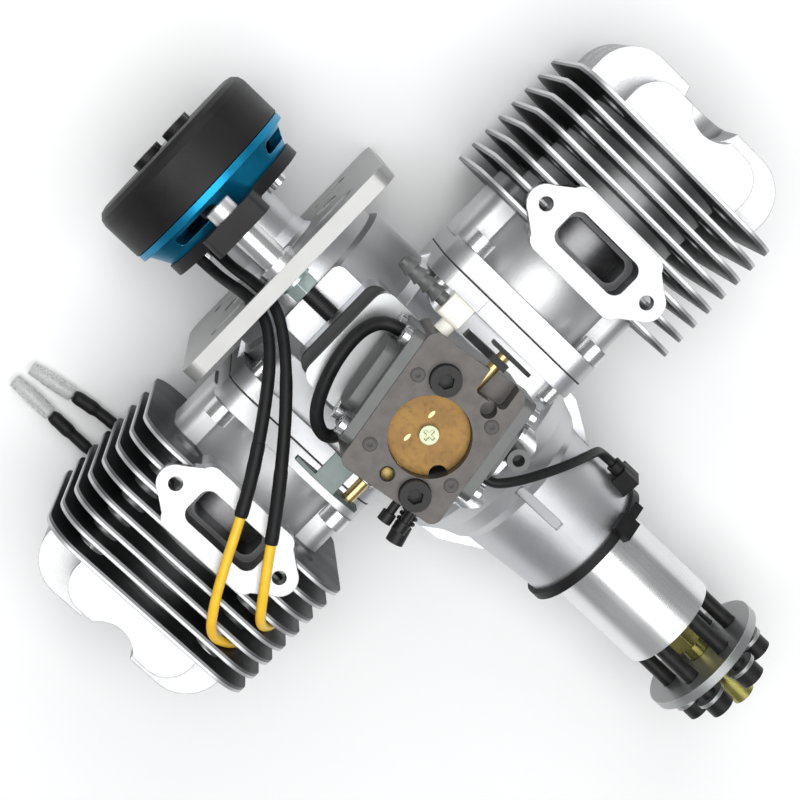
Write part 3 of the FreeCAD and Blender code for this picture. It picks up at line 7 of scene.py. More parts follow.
import logging
import math
from dataclasses import dataclass
from enum import Enum
from typing import Iterable, Sequence

import bmesh
import bpy
import numpy as np
from mathutils import Matrix, Vector

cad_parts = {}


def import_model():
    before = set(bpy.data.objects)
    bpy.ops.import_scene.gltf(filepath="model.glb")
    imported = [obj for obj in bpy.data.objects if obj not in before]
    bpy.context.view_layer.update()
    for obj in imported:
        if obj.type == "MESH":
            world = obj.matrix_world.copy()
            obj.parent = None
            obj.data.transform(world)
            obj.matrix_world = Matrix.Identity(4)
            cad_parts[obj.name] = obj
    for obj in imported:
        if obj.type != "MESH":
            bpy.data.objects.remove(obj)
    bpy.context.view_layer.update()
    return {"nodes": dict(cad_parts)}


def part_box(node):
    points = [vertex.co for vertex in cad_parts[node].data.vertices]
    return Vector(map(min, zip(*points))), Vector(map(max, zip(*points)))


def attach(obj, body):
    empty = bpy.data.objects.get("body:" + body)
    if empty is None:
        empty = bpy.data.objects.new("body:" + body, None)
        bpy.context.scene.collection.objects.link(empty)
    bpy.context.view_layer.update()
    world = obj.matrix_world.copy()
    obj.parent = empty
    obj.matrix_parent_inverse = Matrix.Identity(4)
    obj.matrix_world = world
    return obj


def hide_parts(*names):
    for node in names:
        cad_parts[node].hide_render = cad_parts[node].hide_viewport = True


log = logging.getLogger("engine_looks")
MM = 0.001
Point = tuple[float, float, float]
Color = tuple[float, float, float]
Ramp = tuple[float, float]  # where a mask is 0 and where it is 1

# How a finish is put together: the shares of its clouds and its grain in the colour and in the roughness,
# the share of the edge's colour, and the cosines between which a bend counts as an edge
CLOUD_SHARE = 0.6
GRAIN_SHARE = 0.4
CLOUD_DULLNESS = 0.10
GRAIN_DULLNESS = 0.16
SMOOTHEST = 0.05
EDGE_SHARE = 0.8
EDGE_BEND: Ramp = (0.995, 0.86)


class Axis(Enum):
    """An axis of the frame, and its place in a vector."""

    X = 0
    Y = 1
    Z = 2


# Shader maths

class Number:
    """A number that varies over a surface: a socket that takes Python's operators."""

    def __init__(self, paint: "Paint", socket: bpy.types.NodeSocket) -> None:
        """Wraps a socket.

        Args:
            paint: the material that the socket belongs to.
            socket: the output that gives the number.
        """
        self.paint = paint
        self.socket = socket

    def math(self, operation: str, *others: "Number | float") -> "Number":
        """One step of arithmetic.

        Args:
            operation: the Math node's operation.
            others: the other operands.
        Returns:
            The result as a new number.
        """
        values = {0: self, **{i + 1: v for i, v in enumerate(others)}}
        return Number(self.paint, self.paint.node("Math", {"operation": operation}, values).outputs[0])

    def __add__(self, other: "Number | float") -> "Number":
        """The sum."""
        return self.math("ADD", other)

    def __mul__(self, other: "Number | float") -> "Number":
        """The product."""
        return self.math("MULTIPLY", other)

    def __sub__(self, other: "Number | float") -> "Number":
        """The difference."""
        return self.math("SUBTRACT", other)

    def __rsub__(self, other: float) -> "Number":
        """A plain number less this one."""
        return self * -1.0 + other

    def __truediv__(self, other: "Number | float") -> "Number":
        """The quotient."""
        return self.math("DIVIDE", other)

    __radd__ = __add__
    __rmul__ = __mul__

    def __abs__(self) -> "Number":
        """The size without its sign."""
        return self.math("ABSOLUTE")

    def sine(self) -> "Number":
        """The sine."""
        return self.math("SINE")

    def between(self, low: float, high: float) -> "Number":
        """Rises smoothly from 0 at low to 1 at high, or falls where low is the greater.

        Args:
            low: where the result is 0.
            high: where the result is 1.
        Returns:
            The smooth step.
        """
        if low > high:
            return 1.0 - self.between(high, low)
        values = {"Value": self, "From Min": low, "From Max": high}
        step = self.paint.node("MapRange", {"interpolation_type": "SMOOTHSTEP"}, values)
        return Number(self.paint, step.outputs["Result"])


class Paint:
    """One material's node tree."""

    def __init__(self, name: str) -> None:
        """Starts an empty material.

        Args:
            name: the finish's name.
        """
        self.material = bpy.data.materials.new(name)
        self.material.use_nodes = True
        self.tree = self.material.node_tree
        self.tree.nodes.clear()
        self.place = self.node("TexCoord").outputs["Object"]

    def node(self, kind: str, settings: dict | None = None, values: dict | None = None) -> bpy.types.Node:
        """Adds one node, sets its options and then fills or links its sockets.

        Args:
            kind: the node's type without its ShaderNode prefix.
            settings: options such as a Math node's operation.
            values: numbers, colours, links or Numbers by socket name or index.
        Returns:
            The new node.
        """
        made = self.tree.nodes.new("ShaderNode" + kind)
        for option, choice in (settings or {}).items():
            setattr(made, option, choice)
        for key, value in (values or {}).items():
            socket = value.socket if isinstance(value, Number) else value
            if isinstance(socket, bpy.types.NodeSocket):
                self.tree.links.new(socket, made.inputs[key])
            else:
                made.inputs[key].default_value = socket
        return made

    def noise(self, size: float, detail: float = 2.0, stretch: Point = (1, 1, 1), seed: float = 0.0) -> Number:
        """Cloudy noise, 0 to 1.

        Args:
            size: the size of its patches in metres.
            detail: how many finer layers it has.
            stretch: how much longer a patch is along each axis.
            seed: moves the pattern.
        Returns:
            The noise.
        """
        scaled = [1.0 / (size * s) for s in stretch]
        mapping = self.node("Mapping", {}, {"Vector": self.place, "Location": (seed,) * 3, "Scale": scaled})
        noise = self.node("TexNoise", {}, {"Vector": mapping.outputs[0], "Scale": 1.0, "Detail": detail})
        return Number(self, noise.outputs[0])

    def coordinate(self, axis: Axis) -> Number:
        """The place along one axis, in metres."""
        return Number(self, self.node("SeparateXYZ", {}, {0: self.place}).outputs[axis.value])

    def facing(self, axis: Axis) -> Number:
        """How far the surface faces along one axis, -1 to 1."""
        normal = self.node("TexCoord").outputs["Normal"]
        return Number(self, self.node("SeparateXYZ", {}, {0: normal}).outputs[axis.value])

    def blend(self, factor: Number, first: object, second: object) -> bpy.types.NodeSocket:
        """Mixes two colours.

        Args:
            factor: 0 gives the first and 1 the second.
            first: a colour or a colour's socket.
            second: a colour or a colour's socket.
        Returns:
            The mixed colour's socket.
        """
        ends = [c if isinstance(c, bpy.types.NodeSocket) else (*c, 1.0) for c in (first, second)]
        return self.node("Mix", {"data_type": "RGBA"}, {0: factor, 6: ends[0], 7: ends[1]}).outputs[2]

    def edges(self, radius: float) -> tuple[bpy.types.NodeSocket, Number]:
        """Rounds the shading of sharp edges and finds them.

        The mask is one less the dot product of the true and the rounded normals.

        Args:
            radius: the edge's radius in metres.
        Returns:
            The rounded normal and a mask that is 1 on the edges.
        """
        rounded = self.node("Bevel", {"samples": 4}, {"Radius": radius}).outputs[0]
        true = self.node("NewGeometry").outputs["Normal"]
        dot = self.node("VectorMath", {"operation": "DOT_PRODUCT"}, {0: rounded, 1: true}).outputs["Value"]
        return rounded, Number(self, dot).between(*EDGE_BEND)

    def bump(self, height: Number, depth: float, normal: bpy.types.NodeSocket | None = None) -> bpy.types.NodeSocket:
        """Relief from a height.

        Args:
            height: 0 to 1.
            depth: the relief's depth in metres.
            normal: the normal that it stands on.
        Returns:
            The new normal.
        """
        values = {"Height": height, "Distance": depth, "Strength": 1.0}
        if normal is not None:
            values["Normal"] = normal
        return self.node("Bump", {}, values).outputs[0]

    def finish(self, **sockets: object) -> bpy.types.Material:
        """Ends the tree with one surface shader.

        Args:
            sockets: its sockets, with an underscore for each space.
        Returns:
            The material.
        """
        values = {key.replace("_", " "): value for key, value in sockets.items()}
        shader = self.node("BsdfPrincipled", {}, values)
        self.node("OutputMaterial", {}, {"Surface": shader.outputs[0]})
        return self.material


@dataclass(frozen=True)
class Finish:
    """A solid finish: two tones clouded together, a fine grain and lighter or darker edges, where lighter edges are
    partly wear and partly painted highlight and darker edges are painted shade.
    """

    name: str
    light: Color
    shade: Color
    metallic: float = 0.0
    roughness: float = 0.4
    cloud: float = 0.02
    grain: float = 0.0004
    relief: float = 0.00002
    edge: Color | None = None
    edge_radius: float = 0.0003
    coat: float = 0.0
    specular: float = 0.5
    brushed: Axis | None = None
    brush: tuple[float, float] = (14.0, 0.7)

    def tint(self, paint: Paint, color: bpy.types.NodeSocket) -> bpy.types.NodeSocket:
        """Changes the colour further. The plain finish leaves it as it is."""
        return color

    def material(self) -> bpy.types.Material:
        """Builds the material.

        The colour goes from shade to light with clouds, takes the edge's colour along sharp edges,
        and its roughness and relief follow a fine grain. The brush tells how much longer the grain is
        across and along the brushed axis.

        Returns:
            The material.
        """
        paint = Paint(self.name)
        stretch = [1.0, 1.0, 1.0]
        if self.brushed is not None:
            stretch = [self.brush[0]] * 3
            stretch[self.brushed.value] = self.brush[1]
        clouds = paint.noise(self.cloud, 3.0).between(0.3, 0.7)
        grain = paint.noise(self.grain, 1.0, tuple(stretch), 3.0)
        normal, rim = paint.edges(self.edge_radius)
        color = paint.blend(clouds * CLOUD_SHARE + grain * GRAIN_SHARE, self.shade, self.light)
        color = self.tint(paint, color)
        # The edge colour is partly wear and partly painted highlight where it is lighter, and painted shade where it is
        # darker
        if self.edge is not None:
            color = paint.blend(rim * EDGE_SHARE, color, self.edge)
        smooth = self.roughness - (CLOUD_DULLNESS + GRAIN_DULLNESS) / 2
        rough = (clouds * CLOUD_DULLNESS + grain * GRAIN_DULLNESS + smooth).math("MAXIMUM", SMOOTHEST)
        return paint.finish(Base_Color=color, Metallic=self.metallic, Roughness=rough,
                            Normal=paint.bump(grain, self.relief, normal), Coat_Weight=self.coat,
                            Specular_IOR_Level=self.specular)


@dataclass(frozen=True)
class FinnedCasting(Finish):
    """The cylinder's casting with painted shade: dark between the fins and over one side of each machined rim, leaving
    a thin line at the casting's colour as the rim's painted highlight.
    """

    fins_from: float = 0.0572
    fins_to: float = 0.1006
    first_fin: float = 0.0583
    fin_pitch: float = 0.0058
    middle_x: float = 0.0503
    stagger: float = 0.0100
    soft: float = 0.0002
    barrel_r: Ramp = (0.0350, 0.0330)
    broad_y: Ramp = (0.6, 0.9)
    steep_z: Ramp = (0.80, 0.10)
    steep_share: float = 0.75
    rim_phase: Ramp = (0.005, -0.015)
    rim_top: Ramp = (0.0377, 0.0375)
    shade_lift_share: float = 0.25
    port_y: float = 0.0644
    port_half_x: Ramp = (0.0133, 0.0129)
    port_half_y: Ramp = (0.0060, 0.0056)
    port_top: Ramp = (0.0398, 0.0390)
    port_bottom: Ramp = (0.0150, 0.0200)
    # Colours of painted shade: between the fins, on the barrel, on the rims, on the head's sides and in the port
    gap_shade_tone: Color = (0.055, 0.057, 0.06)
    barrel_shade_tone: Color = (0.36, 0.37, 0.37)
    rim_shade_tone: Color = (0.16, 0.165, 0.17)
    side_shade_tone: Color = (0.20, 0.205, 0.21)
    port_shade_tone: Color = (0.10, 0.10, 0.103)

    def tint(self, paint: Paint, color: bpy.types.NodeSocket) -> bpy.types.NodeSocket:
        """Paints shade on the fins' broad faces, over one side of each fin's rim, on the head's steep sides and in the
        port, and a lighter shade on the barrel between the fins.

        Distances count from the crank's axis along the cylinder's, which lies to one side of the middle.
        A fin's phase is its distance over the pitch, less the nearest whole number.

        Args:
            paint: the material.
            color: the casting's colour.
        Returns:
            The casting's colour with all of these.
        """
        side = paint.coordinate(Axis.Y)
        reach = abs(side)
        across = paint.coordinate(Axis.X) - self.middle_x - side.math("SIGN") * self.stagger
        height = paint.coordinate(Axis.Z)
        past_first = reach.between(self.fins_from - self.soft, self.fins_from)
        inside = past_first * reach.between(self.fins_to, self.fins_to - self.soft)
        broad = abs(paint.facing(Axis.Y)).between(*self.broad_y)
        deep = (across * across + height * height).math("SQRT").between(*self.barrel_r)
        # Noise patches where the painted shade on the fins' broad faces is lifted a little
        worn = paint.noise(0.012, 2.0, seed=7.0).between(0.62, 0.8) * self.shade_lift_share
        # Painted mid-grey shade on the barrel between the fins
        color = paint.blend(inside * deep, color, self.barrel_shade_tone)
        # Painted shade over one side of each fin's rim, leaving a thin line at the casting's colour as its highlight
        phase = ((reach - self.first_fin) / self.fin_pitch + 0.5).math("FRACT") - 0.5
        rim = inside * (1.0 - deep) * phase.between(*self.rim_phase) * height.between(*self.rim_top)
        color = paint.blend(rim, color, self.rim_shade_tone)
        # Painted shade on the fins' broad faces, lifted in the noise patches
        color = paint.blend(inside * broad * (1.0 - worn), color, self.gap_shade_tone)
        head = reach.between(self.fins_to, self.fins_to + self.soft)
        steep = abs(paint.facing(Axis.Z)).between(*self.steep_z) * head
        # Painted shade on the head's steep sides
        color = paint.blend(steep * self.steep_share, color, self.side_shade_tone)
        # Painted shade inside the exhaust port
        port = abs(across).between(*self.port_half_x) * abs(reach - self.port_y).between(*self.port_half_y)
        port = port * height.between(*self.port_top) * height.between(*self.port_bottom)
        return paint.blend(port, color, self.port_shade_tone)


@dataclass(frozen=True)
class TwoEnds(Finish):
    """A bolt with a bright head and a black threaded end."""

    split: Ramp = (-0.020, -0.0203)
    head: Color = (0.78, 0.78, 0.78)

    def tint(self, paint: Paint, color: bpy.types.NodeSocket) -> bpy.types.NodeSocket:
        """Lightens what lies behind the split.

        Args:
            paint: the material.
            color: the black end's colour.
        Returns:
            The colour of both ends.
        """
        return paint.blend(paint.coordinate(Axis.X).between(*self.split), color, self.head)


@dataclass(frozen=True)
class GroovedCasting(Finish):
    """The front casting, with painted shade in the groove along the top of its nose."""

    groove_x: tuple[float, float] = (0.0955, 0.1145)
    groove_half_y: float = 0.0016
    groove_from_z: float = 0.020
    end_soft: float = 0.0004
    side_soft: float = 0.0002
    groove_shade_share: float = 0.8
    groove_shade_tone: Color = (0.17, 0.175, 0.18)

    def tint(self, paint: Paint, color: bpy.types.NodeSocket) -> bpy.types.NodeSocket:
        """Paints shade in the groove.

        Args:
            paint: the material.
            color: the casting's colour.
        Returns:
            The colour with the groove's painted shade.
        """
        middle = (self.groove_x[0] + self.groove_x[1]) / 2
        half_x = (self.groove_x[1] - self.groove_x[0]) / 2
        along = abs(paint.coordinate(Axis.X) - middle).between(half_x, half_x - self.end_soft)
        across = abs(paint.coordinate(Axis.Y)).between(self.groove_half_y, self.groove_half_y - self.side_soft)
        above = paint.coordinate(Axis.Z).between(self.groove_from_z, self.groove_from_z + self.side_soft)
        return paint.blend(along * across * above * self.groove_shade_share, color, self.groove_shade_tone)


@dataclass(frozen=True)
class StampedBrass(Finish):
    """The choke disc's brass: blotched, with fine stains."""

    stain: Color = (0.11, 0.06, 0.02)
    centre: tuple[float, float] = (0.0558, -0.0020)
    dents: tuple[tuple[float, float], ...] = ((0.0526, 0.0024), (0.0522, -0.0066))
    dent_half: tuple[float, float] = (0.0005, 0.0012)
    dent_edge: Ramp = (1.3, 0.7)
    dent_highlight_tone: Color = (0.85, 0.68, 0.36)
    screw_r: float = 0.0027
    screw_soft: float = 0.0001
    screw_tone: Color = (0.46, 0.50, 0.34)

    def tint(self, paint: Paint, color: bpy.types.NodeSocket) -> bpy.types.NodeSocket:
        """Adds stains, two dents painted bright as highlights and the bright screw in the middle.

        A dent is an ellipse: the squares of the two distances over its half axes, added.

        Args:
            paint: the material.
            color: the brass's colour.
        Returns:
            The disc's colour.
        """
        x = paint.coordinate(Axis.X) - self.centre[0]
        y = paint.coordinate(Axis.Y) - self.centre[1]
        spots = paint.noise(0.0014, 5.0, seed=5.0).between(0.48, 0.70)
        patches = paint.noise(0.0070, 2.0, seed=9.0).between(0.40, 0.65)
        color = paint.blend(patches * 0.35 + spots * 0.40, color, self.stain)
        for dent_x, dent_y in self.dents:
            off_x = (x - (dent_x - self.centre[0])) / self.dent_half[0]
            off_y = (y - (dent_y - self.centre[1])) / self.dent_half[1]
            dent = (off_x * off_x + off_y * off_y).between(*self.dent_edge)
            # Painted highlight in the dent
            color = paint.blend(dent * 0.9, color, self.dent_highlight_tone)
        screw = (x * x + y * y).math("SQRT").between(self.screw_r + self.screw_soft, self.screw_r - self.screw_soft)
        return paint.blend(screw, color, self.screw_tone)


@dataclass(frozen=True)
class WoundWire(Finish):
    """Enamelled wire wound in rows."""

    pitch: float = 0.0009
    line: Ramp = (0.2, -0.9)
    crease_shade_tone: Color = (0.02, 0.01, 0.008)

    def tint(self, paint: Paint, color: bpy.types.NodeSocket) -> bpy.types.NodeSocket:
        """Paints shade as dark lines in the creases between the rows of wire.

        Args:
            paint: the material.
            color: the wire's colour.
        Returns:
            The colour with the creases' painted shade.
        """
        rows = (paint.coordinate(Axis.X) * (2 * math.pi / self.pitch)).sine().between(*self.line)
        return paint.blend(rows * 0.8, color, self.crease_shade_tone)


@dataclass(frozen=True)
class ClearSleeve:
    """Clear moulded plastic."""

    name: str = "clear sleeve"
    dull: Color = (0.86, 0.88, 0.86)
    clear: Color = (0.97, 0.98, 0.97)
    let_through: float = 0.55

    def material(self) -> bpy.types.Material:
        """Builds the see-through material with faint haze."""
        paint = Paint(self.name)
        haze = paint.noise(0.002, 2.0)
        return paint.finish(Base_Color=paint.blend(haze, self.dull, self.clear), Roughness=haze * 0.2 + 0.18,
                            Transmission_Weight=self.let_through, IOR=1.42)


BLASTED = ((0.66, 0.67, 0.68), (0.50, 0.51, 0.53), 0.88, 0.38, 0.03, 0.0005, 0.00003, (0.90, 0.90, 0.90))

FINISHES: dict[str, Finish | ClearSleeve] = {
    "casting": Finish("blasted casting", *BLASTED),
    "nose": GroovedCasting("blasted nose casting", *BLASTED),
    # The cylinder's edge colour is darker than its casting: painted shade along its edges and corners
    "cylinder": FinnedCasting("finned casting", (0.66, 0.665, 0.67), (0.54, 0.545, 0.55), 0.8, 0.42, 0.02, 0.0005,
                              0.00003, (0.36, 0.365, 0.37), 0.0004),
    "plate": Finish("machined plate", (0.42, 0.42, 0.41), (0.33, 0.33, 0.325), 0.65, 0.42, 0.012, 0.0005, 0.00002,
                    (0.80, 0.80, 0.79)),
    "adapter": Finish("machined adapter", (0.46, 0.47, 0.47), (0.35, 0.36, 0.36), 0.85, 0.36, 0.015, 0.0003, 0.00001,
                      (0.85, 0.85, 0.84)),
    "turned": Finish("turned alloy", (0.92, 0.92, 0.92), (0.60, 0.61, 0.62), 0.95, 0.26, 0.05, 0.0016, 0.000004,
                     (0.96, 0.96, 0.96), brushed=Axis.X, brush=(1.0, 60.0)),
    "piston": Finish("worn piston", (0.34, 0.34, 0.35), (0.20, 0.20, 0.21), 0.9, 0.40, 0.004, brushed=Axis.Y),
    "steel": Finish("bright steel", (0.80, 0.81, 0.82), (0.60, 0.61, 0.62), 1.0, 0.26, 0.006, 0.0003, 0.00001),
    "barrel": Finish("dull tin", (0.30, 0.29, 0.28), (0.20, 0.19, 0.18), 0.8, 0.42, 0.002),
    "post_bolt": TwoEnds("bolt with bright head", (0.030, 0.029, 0.030), (0.012, 0.012, 0.013), 0.7, 0.34, 0.004,
                         0.0004, 0.00002, (0.10, 0.10, 0.10)),
    "black_oxide": Finish("black oxide", (0.022, 0.021, 0.021), (0.009, 0.009, 0.010), 0.15, 0.40, 0.004, 0.0004,
                          0.00002, (0.09, 0.09, 0.09), specular=0.3),
    "green_zinc": Finish("green zinc", (0.66, 0.78, 0.75), (0.48, 0.60, 0.58), 0.85, 0.33, 0.004),
    "yellow_zinc": Finish("yellow zinc", (0.46, 0.41, 0.13), (0.30, 0.29, 0.09), 0.9, 0.28, 0.006, 0.0003, 0.00001),
    "carburettor": Finish("grey die casting", (0.140, 0.130, 0.123), (0.062, 0.056, 0.053), 0.4, 0.46, 0.0035, 0.0005,
                          0.00004, (0.30, 0.29, 0.27)),
    "mark": Finish("pin mark", (0.085, 0.079, 0.075), (0.065, 0.06, 0.056), 0.4, 0.5, 0.006),
    "cover": Finish("dark cover", (0.155, 0.16, 0.155), (0.085, 0.09, 0.09), 0.4, 0.45, 0.006, 0.0004, 0.00003,
                    (0.32, 0.32, 0.31)),
    "lever": Finish("zinc lever", (0.16, 0.19, 0.185), (0.08, 0.095, 0.095), 0.7, 0.36, 0.004, edge=(0.42, 0.46, 0.44)),
    "disc": StampedBrass("stamped brass", (0.28, 0.16, 0.042), (0.18, 0.095, 0.024), 0.6, 0.40, 0.004, 0.0003,
                         0.00001, (0.70, 0.52, 0.22)),
    "brass": Finish("turned brass", (0.80, 0.62, 0.30), (0.58, 0.42, 0.17), 0.95, 0.30, 0.004, 0.0002, 0.00001),
    "plug": Finish("old brass", (0.30, 0.22, 0.08), (0.16, 0.11, 0.04), 0.9, 0.35, 0.0012, edge=(0.5, 0.4, 0.18)),
    "nylon": Finish("cream nylon", (0.93, 0.91, 0.83), (0.84, 0.81, 0.71), 0.0, 0.35, 0.003, 0.0004, 0.00001),
    "gasket": Finish("gasket paper", (0.05, 0.05, 0.05), (0.02, 0.02, 0.02), 0.0, 0.7, 0.002),
    "blue": Finish("blue anodised", (0.008, 0.30, 0.52), (0.004, 0.20, 0.40), 0.8, 0.36, 0.01, 0.0004, 0.00001,
                   (0.10, 0.48, 0.68)),
    "bell": Finish("black anodised", (0.016, 0.015, 0.016), (0.009, 0.009, 0.010), 0.1, 0.46, 0.01, 0.0005, 0.00002,
                   (0.05, 0.05, 0.05), specular=0.25),
    "dark_steel": Finish("dark laminations", (0.07, 0.07, 0.07), (0.03, 0.03, 0.03), 0.6, 0.5, 0.004, 0.0005,
                         0.00002, brushed=Axis.X),
    "copper": WoundWire("wound copper", (0.45, 0.16, 0.07), (0.30, 0.10, 0.04), 0.8, 0.35, 0.002),
    "rubber": Finish("black silicone", (0.016, 0.016, 0.017), (0.009, 0.009, 0.009), 0.0, 0.42, 0.004, 0.0006,
                     0.00001, specular=0.25),
    "yellow": Finish("yellow silicone", (0.98, 0.62, 0.03), (0.90, 0.50, 0.015), 0.0, 0.38, 0.005, 0.0006, 0.00001,
                     coat=0.2),
    "shrink": Finish("black shrink sleeve", (0.014, 0.014, 0.015), (0.007, 0.007, 0.007), 0.0, 0.48, 0.003, 0.0005,
                     0.00004, specular=0.22),
    "clear": ClearSleeve(),
}

NODE_FINISHES: dict[str, str] = {
    "crankcase_front": "nose", "crankcase_rear": "casting", "cylinder_left": "cylinder",
    "cylinder_right": "cylinder", "mounting_plate": "plate", "intake_block": "adapter", "rear_posts": "turned",
    "prop_hub": "turned", "prop_washer": "adapter", "piston_left": "piston", "piston_right": "piston",
    "prop_screws": "black_oxide", "post_bolts": "post_bolt", "rotor_screws": "black_oxide",
    "adjusting_screws": "black_oxide", "carburettor_screws": "black_oxide", "post_nuts": "green_zinc",
    "prop_stud": "yellow_zinc", "carburettor_body": "carburettor", "pump_cover": "cover",
    "metering_cover": "cover", "throttle_lever": "lever", "choke_levers": "black_oxide", "choke_disc": "disc",
    "choke_spindle": "brass", "throttle_disc": "brass", "throttle_spindle": "brass", "hose_tails": "cover",
    "fuel_inlet": "nylon", "gaskets": "gasket", "stator_housing": "blue", "stator_plate": "bell",
    "rotor_bell": "bell", "stator_core": "dark_steel", "rotor_magnets": "dark_steel",
    "stator_windings": "copper", "sensor_strap": "shrink", "ignition_sensor": "shrink",
}


class Finisher:
    """Makes each finish once and hands it out."""

    def __init__(self) -> None:
        """Starts with nothing made."""
        self.made: dict[str, bpy.types.Material] = {}

    def get(self, name: str) -> bpy.types.Material:
        """The material of one finish, made at its first use."""
        if name not in self.made:
            self.made[name] = FINISHES[name].material()
        return self.made[name]

    def dress(self, target: bpy.types.Object, name: str) -> bpy.types.Object:
        """Gives a piece one finish.

        Args:
            target: the piece.
            name: the finish's name.
        Returns:
            The same piece.
        """
        target.data.materials.clear()
        target.data.materials.append(self.get(name))
        return target


# Surfaces worked out on grids

FIRST_SIDE = (0.31, 0.22, 0.92)  # no path starts along it


def surface(name: str, grid: np.ndarray, around: bool = False) -> bpy.types.Object:
    """Joins a grid of points into a mesh.

    Args:
        name: the piece's name.
        grid: points as rows, columns and their three coordinates.
        around: whether the last column joins the first.
    Returns:
        The linked object with smooth faces.
    """
    rows, columns = grid.shape[:2]
    index = np.arange(rows * columns).reshape(rows, columns)
    here, down = index[:-1], index[1:]
    if around:
        quads = np.stack([here, np.roll(here, -1, 1), np.roll(down, -1, 1), down], -1)
    else:
        quads = np.stack([here[:, :-1], here[:, 1:], down[:, 1:], down[:, :-1]], -1)
    mesh = bpy.data.meshes.new(name)
    mesh.from_pydata(grid.reshape(-1, 3).tolist(), [], quads.reshape(-1, 4).tolist())
    mesh.polygons.foreach_set("use_smooth", np.ones(len(mesh.polygons), bool))
    mesh.validate()
    piece = bpy.data.objects.new(name, mesh)
    bpy.context.scene.collection.objects.link(piece)
    return piece


def frames(path: np.ndarray) -> tuple[np.ndarray, np.ndarray]:
    """Two directions square to a path that turn as little as they can.

    The tangent is the difference of the neighbours, and each step takes the last side direction less
    its part along the new tangent.

    Args:
        path: points along the path.
    Returns:
        The two directions at each point.
    """
    tangent = np.gradient(path, axis=0)
    tangent /= np.linalg.norm(tangent, axis=1, keepdims=True)
    side = np.zeros_like(path)
    last = np.cross(tangent[0], FIRST_SIDE)
    for i, heading in enumerate(tangent):
        last = last - heading * (last @ heading)
        last = last / np.linalg.norm(last)
        side[i] = last
    return side, np.cross(tangent, side)


def tube_grid(path: np.ndarray, radius: np.ndarray, sides: int) -> np.ndarray:
    """A round tube along a path: the point plus radius times cosine and sine of the two side directions.

    Args:
        path: points along the path.
        radius: the radius at each point.
        sides: how many points go round.
    Returns:
        The grid of points.
    """
    side, other = frames(path)
    turn = np.linspace(0, 2 * math.pi, sides, endpoint=False)
    ring = np.cos(turn)[None, :, None] * side[:, None] + np.sin(turn)[None, :, None] * other[:, None]
    return path[:, None] + radius[:, None, None] * ring


def in_metres(profile: Sequence[tuple[float, float]]) -> list[tuple[float, float]]:
    """A profile's distances and radii, given in millimetres, in metres."""
    return [(distance * MM, radius * MM) for distance, radius in profile]


def turned(name: str, profile: Sequence[tuple[float, float]], start: Point, heading: Point,
           sides: int = 40) -> bpy.types.Object:
    """A shape of revolution: each profile point (distance, radius) goes round the axis.

    Args:
        name: the piece's name.
        profile: distances along the axis and radii, in metres, from one end on the axis to the other.
        start: where the axis starts.
        heading: the axis's direction.
        sides: how many points go round.
    Returns:
        The piece.
    """
    axis = Vector(heading).normalized()
    turn = axis.to_track_quat("Z", "Y").to_matrix()
    distance, radius = np.array(profile).T
    angle = np.linspace(0, 2 * math.pi, sides, endpoint=False)
    grid = np.stack([radius[:, None] * np.cos(angle), radius[:, None] * np.sin(angle),
                     np.repeat(distance[:, None], sides, 1)], -1)
    grid = grid @ np.array(turn).T + np.array(start)
    return skin(name, grid)


def skin(name: str, grid: np.ndarray) -> bpy.types.Object:
    """A closed shape whose grid goes round, with its two open ends capped.

    Args:
        name: the piece's name.
        grid: points as rows, columns and their three coordinates.
    Returns:
        The cleaned piece.
    """
    return clean(surface(name, grid, around=True))


def clean(piece: bpy.types.Object) -> bpy.types.Object:
    """Merges doubles, closes open ends, drops faces with no area and points the faces outwards.

    Args:
        piece: the piece to clean.
    Returns:
        The same piece.
    """
    work = bmesh.new()
    work.from_mesh(piece.data)
    bmesh.ops.remove_doubles(work, verts=work.verts, dist=1e-6)
    open_edges = [edge for edge in work.edges if edge.is_boundary]
    if open_edges:
        bmesh.ops.holes_fill(work, edges=open_edges, sides=0)
    bmesh.ops.dissolve_degenerate(work, edges=work.edges, dist=1e-7)
    bmesh.ops.recalc_face_normals(work, faces=work.faces)
    work.to_mesh(piece.data)
    work.free()
    return piece


@dataclass
class SubAssembly:
    """A group of pieces that ride on one body."""

    finisher: Finisher
    body: str = "engine"

    def place(self, piece: bpy.types.Object, finish: str, slot: str | None = None) -> bpy.types.Object:
        """Dresses a piece and lets it ride.

        Args:
            piece: the piece.
            finish: its finish.
            slot: not used.
        Returns:
            The same piece.
        """
        self.finisher.dress(piece, finish)
        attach(piece, self.body)
        log.info("made %s", piece.name)
        return piece


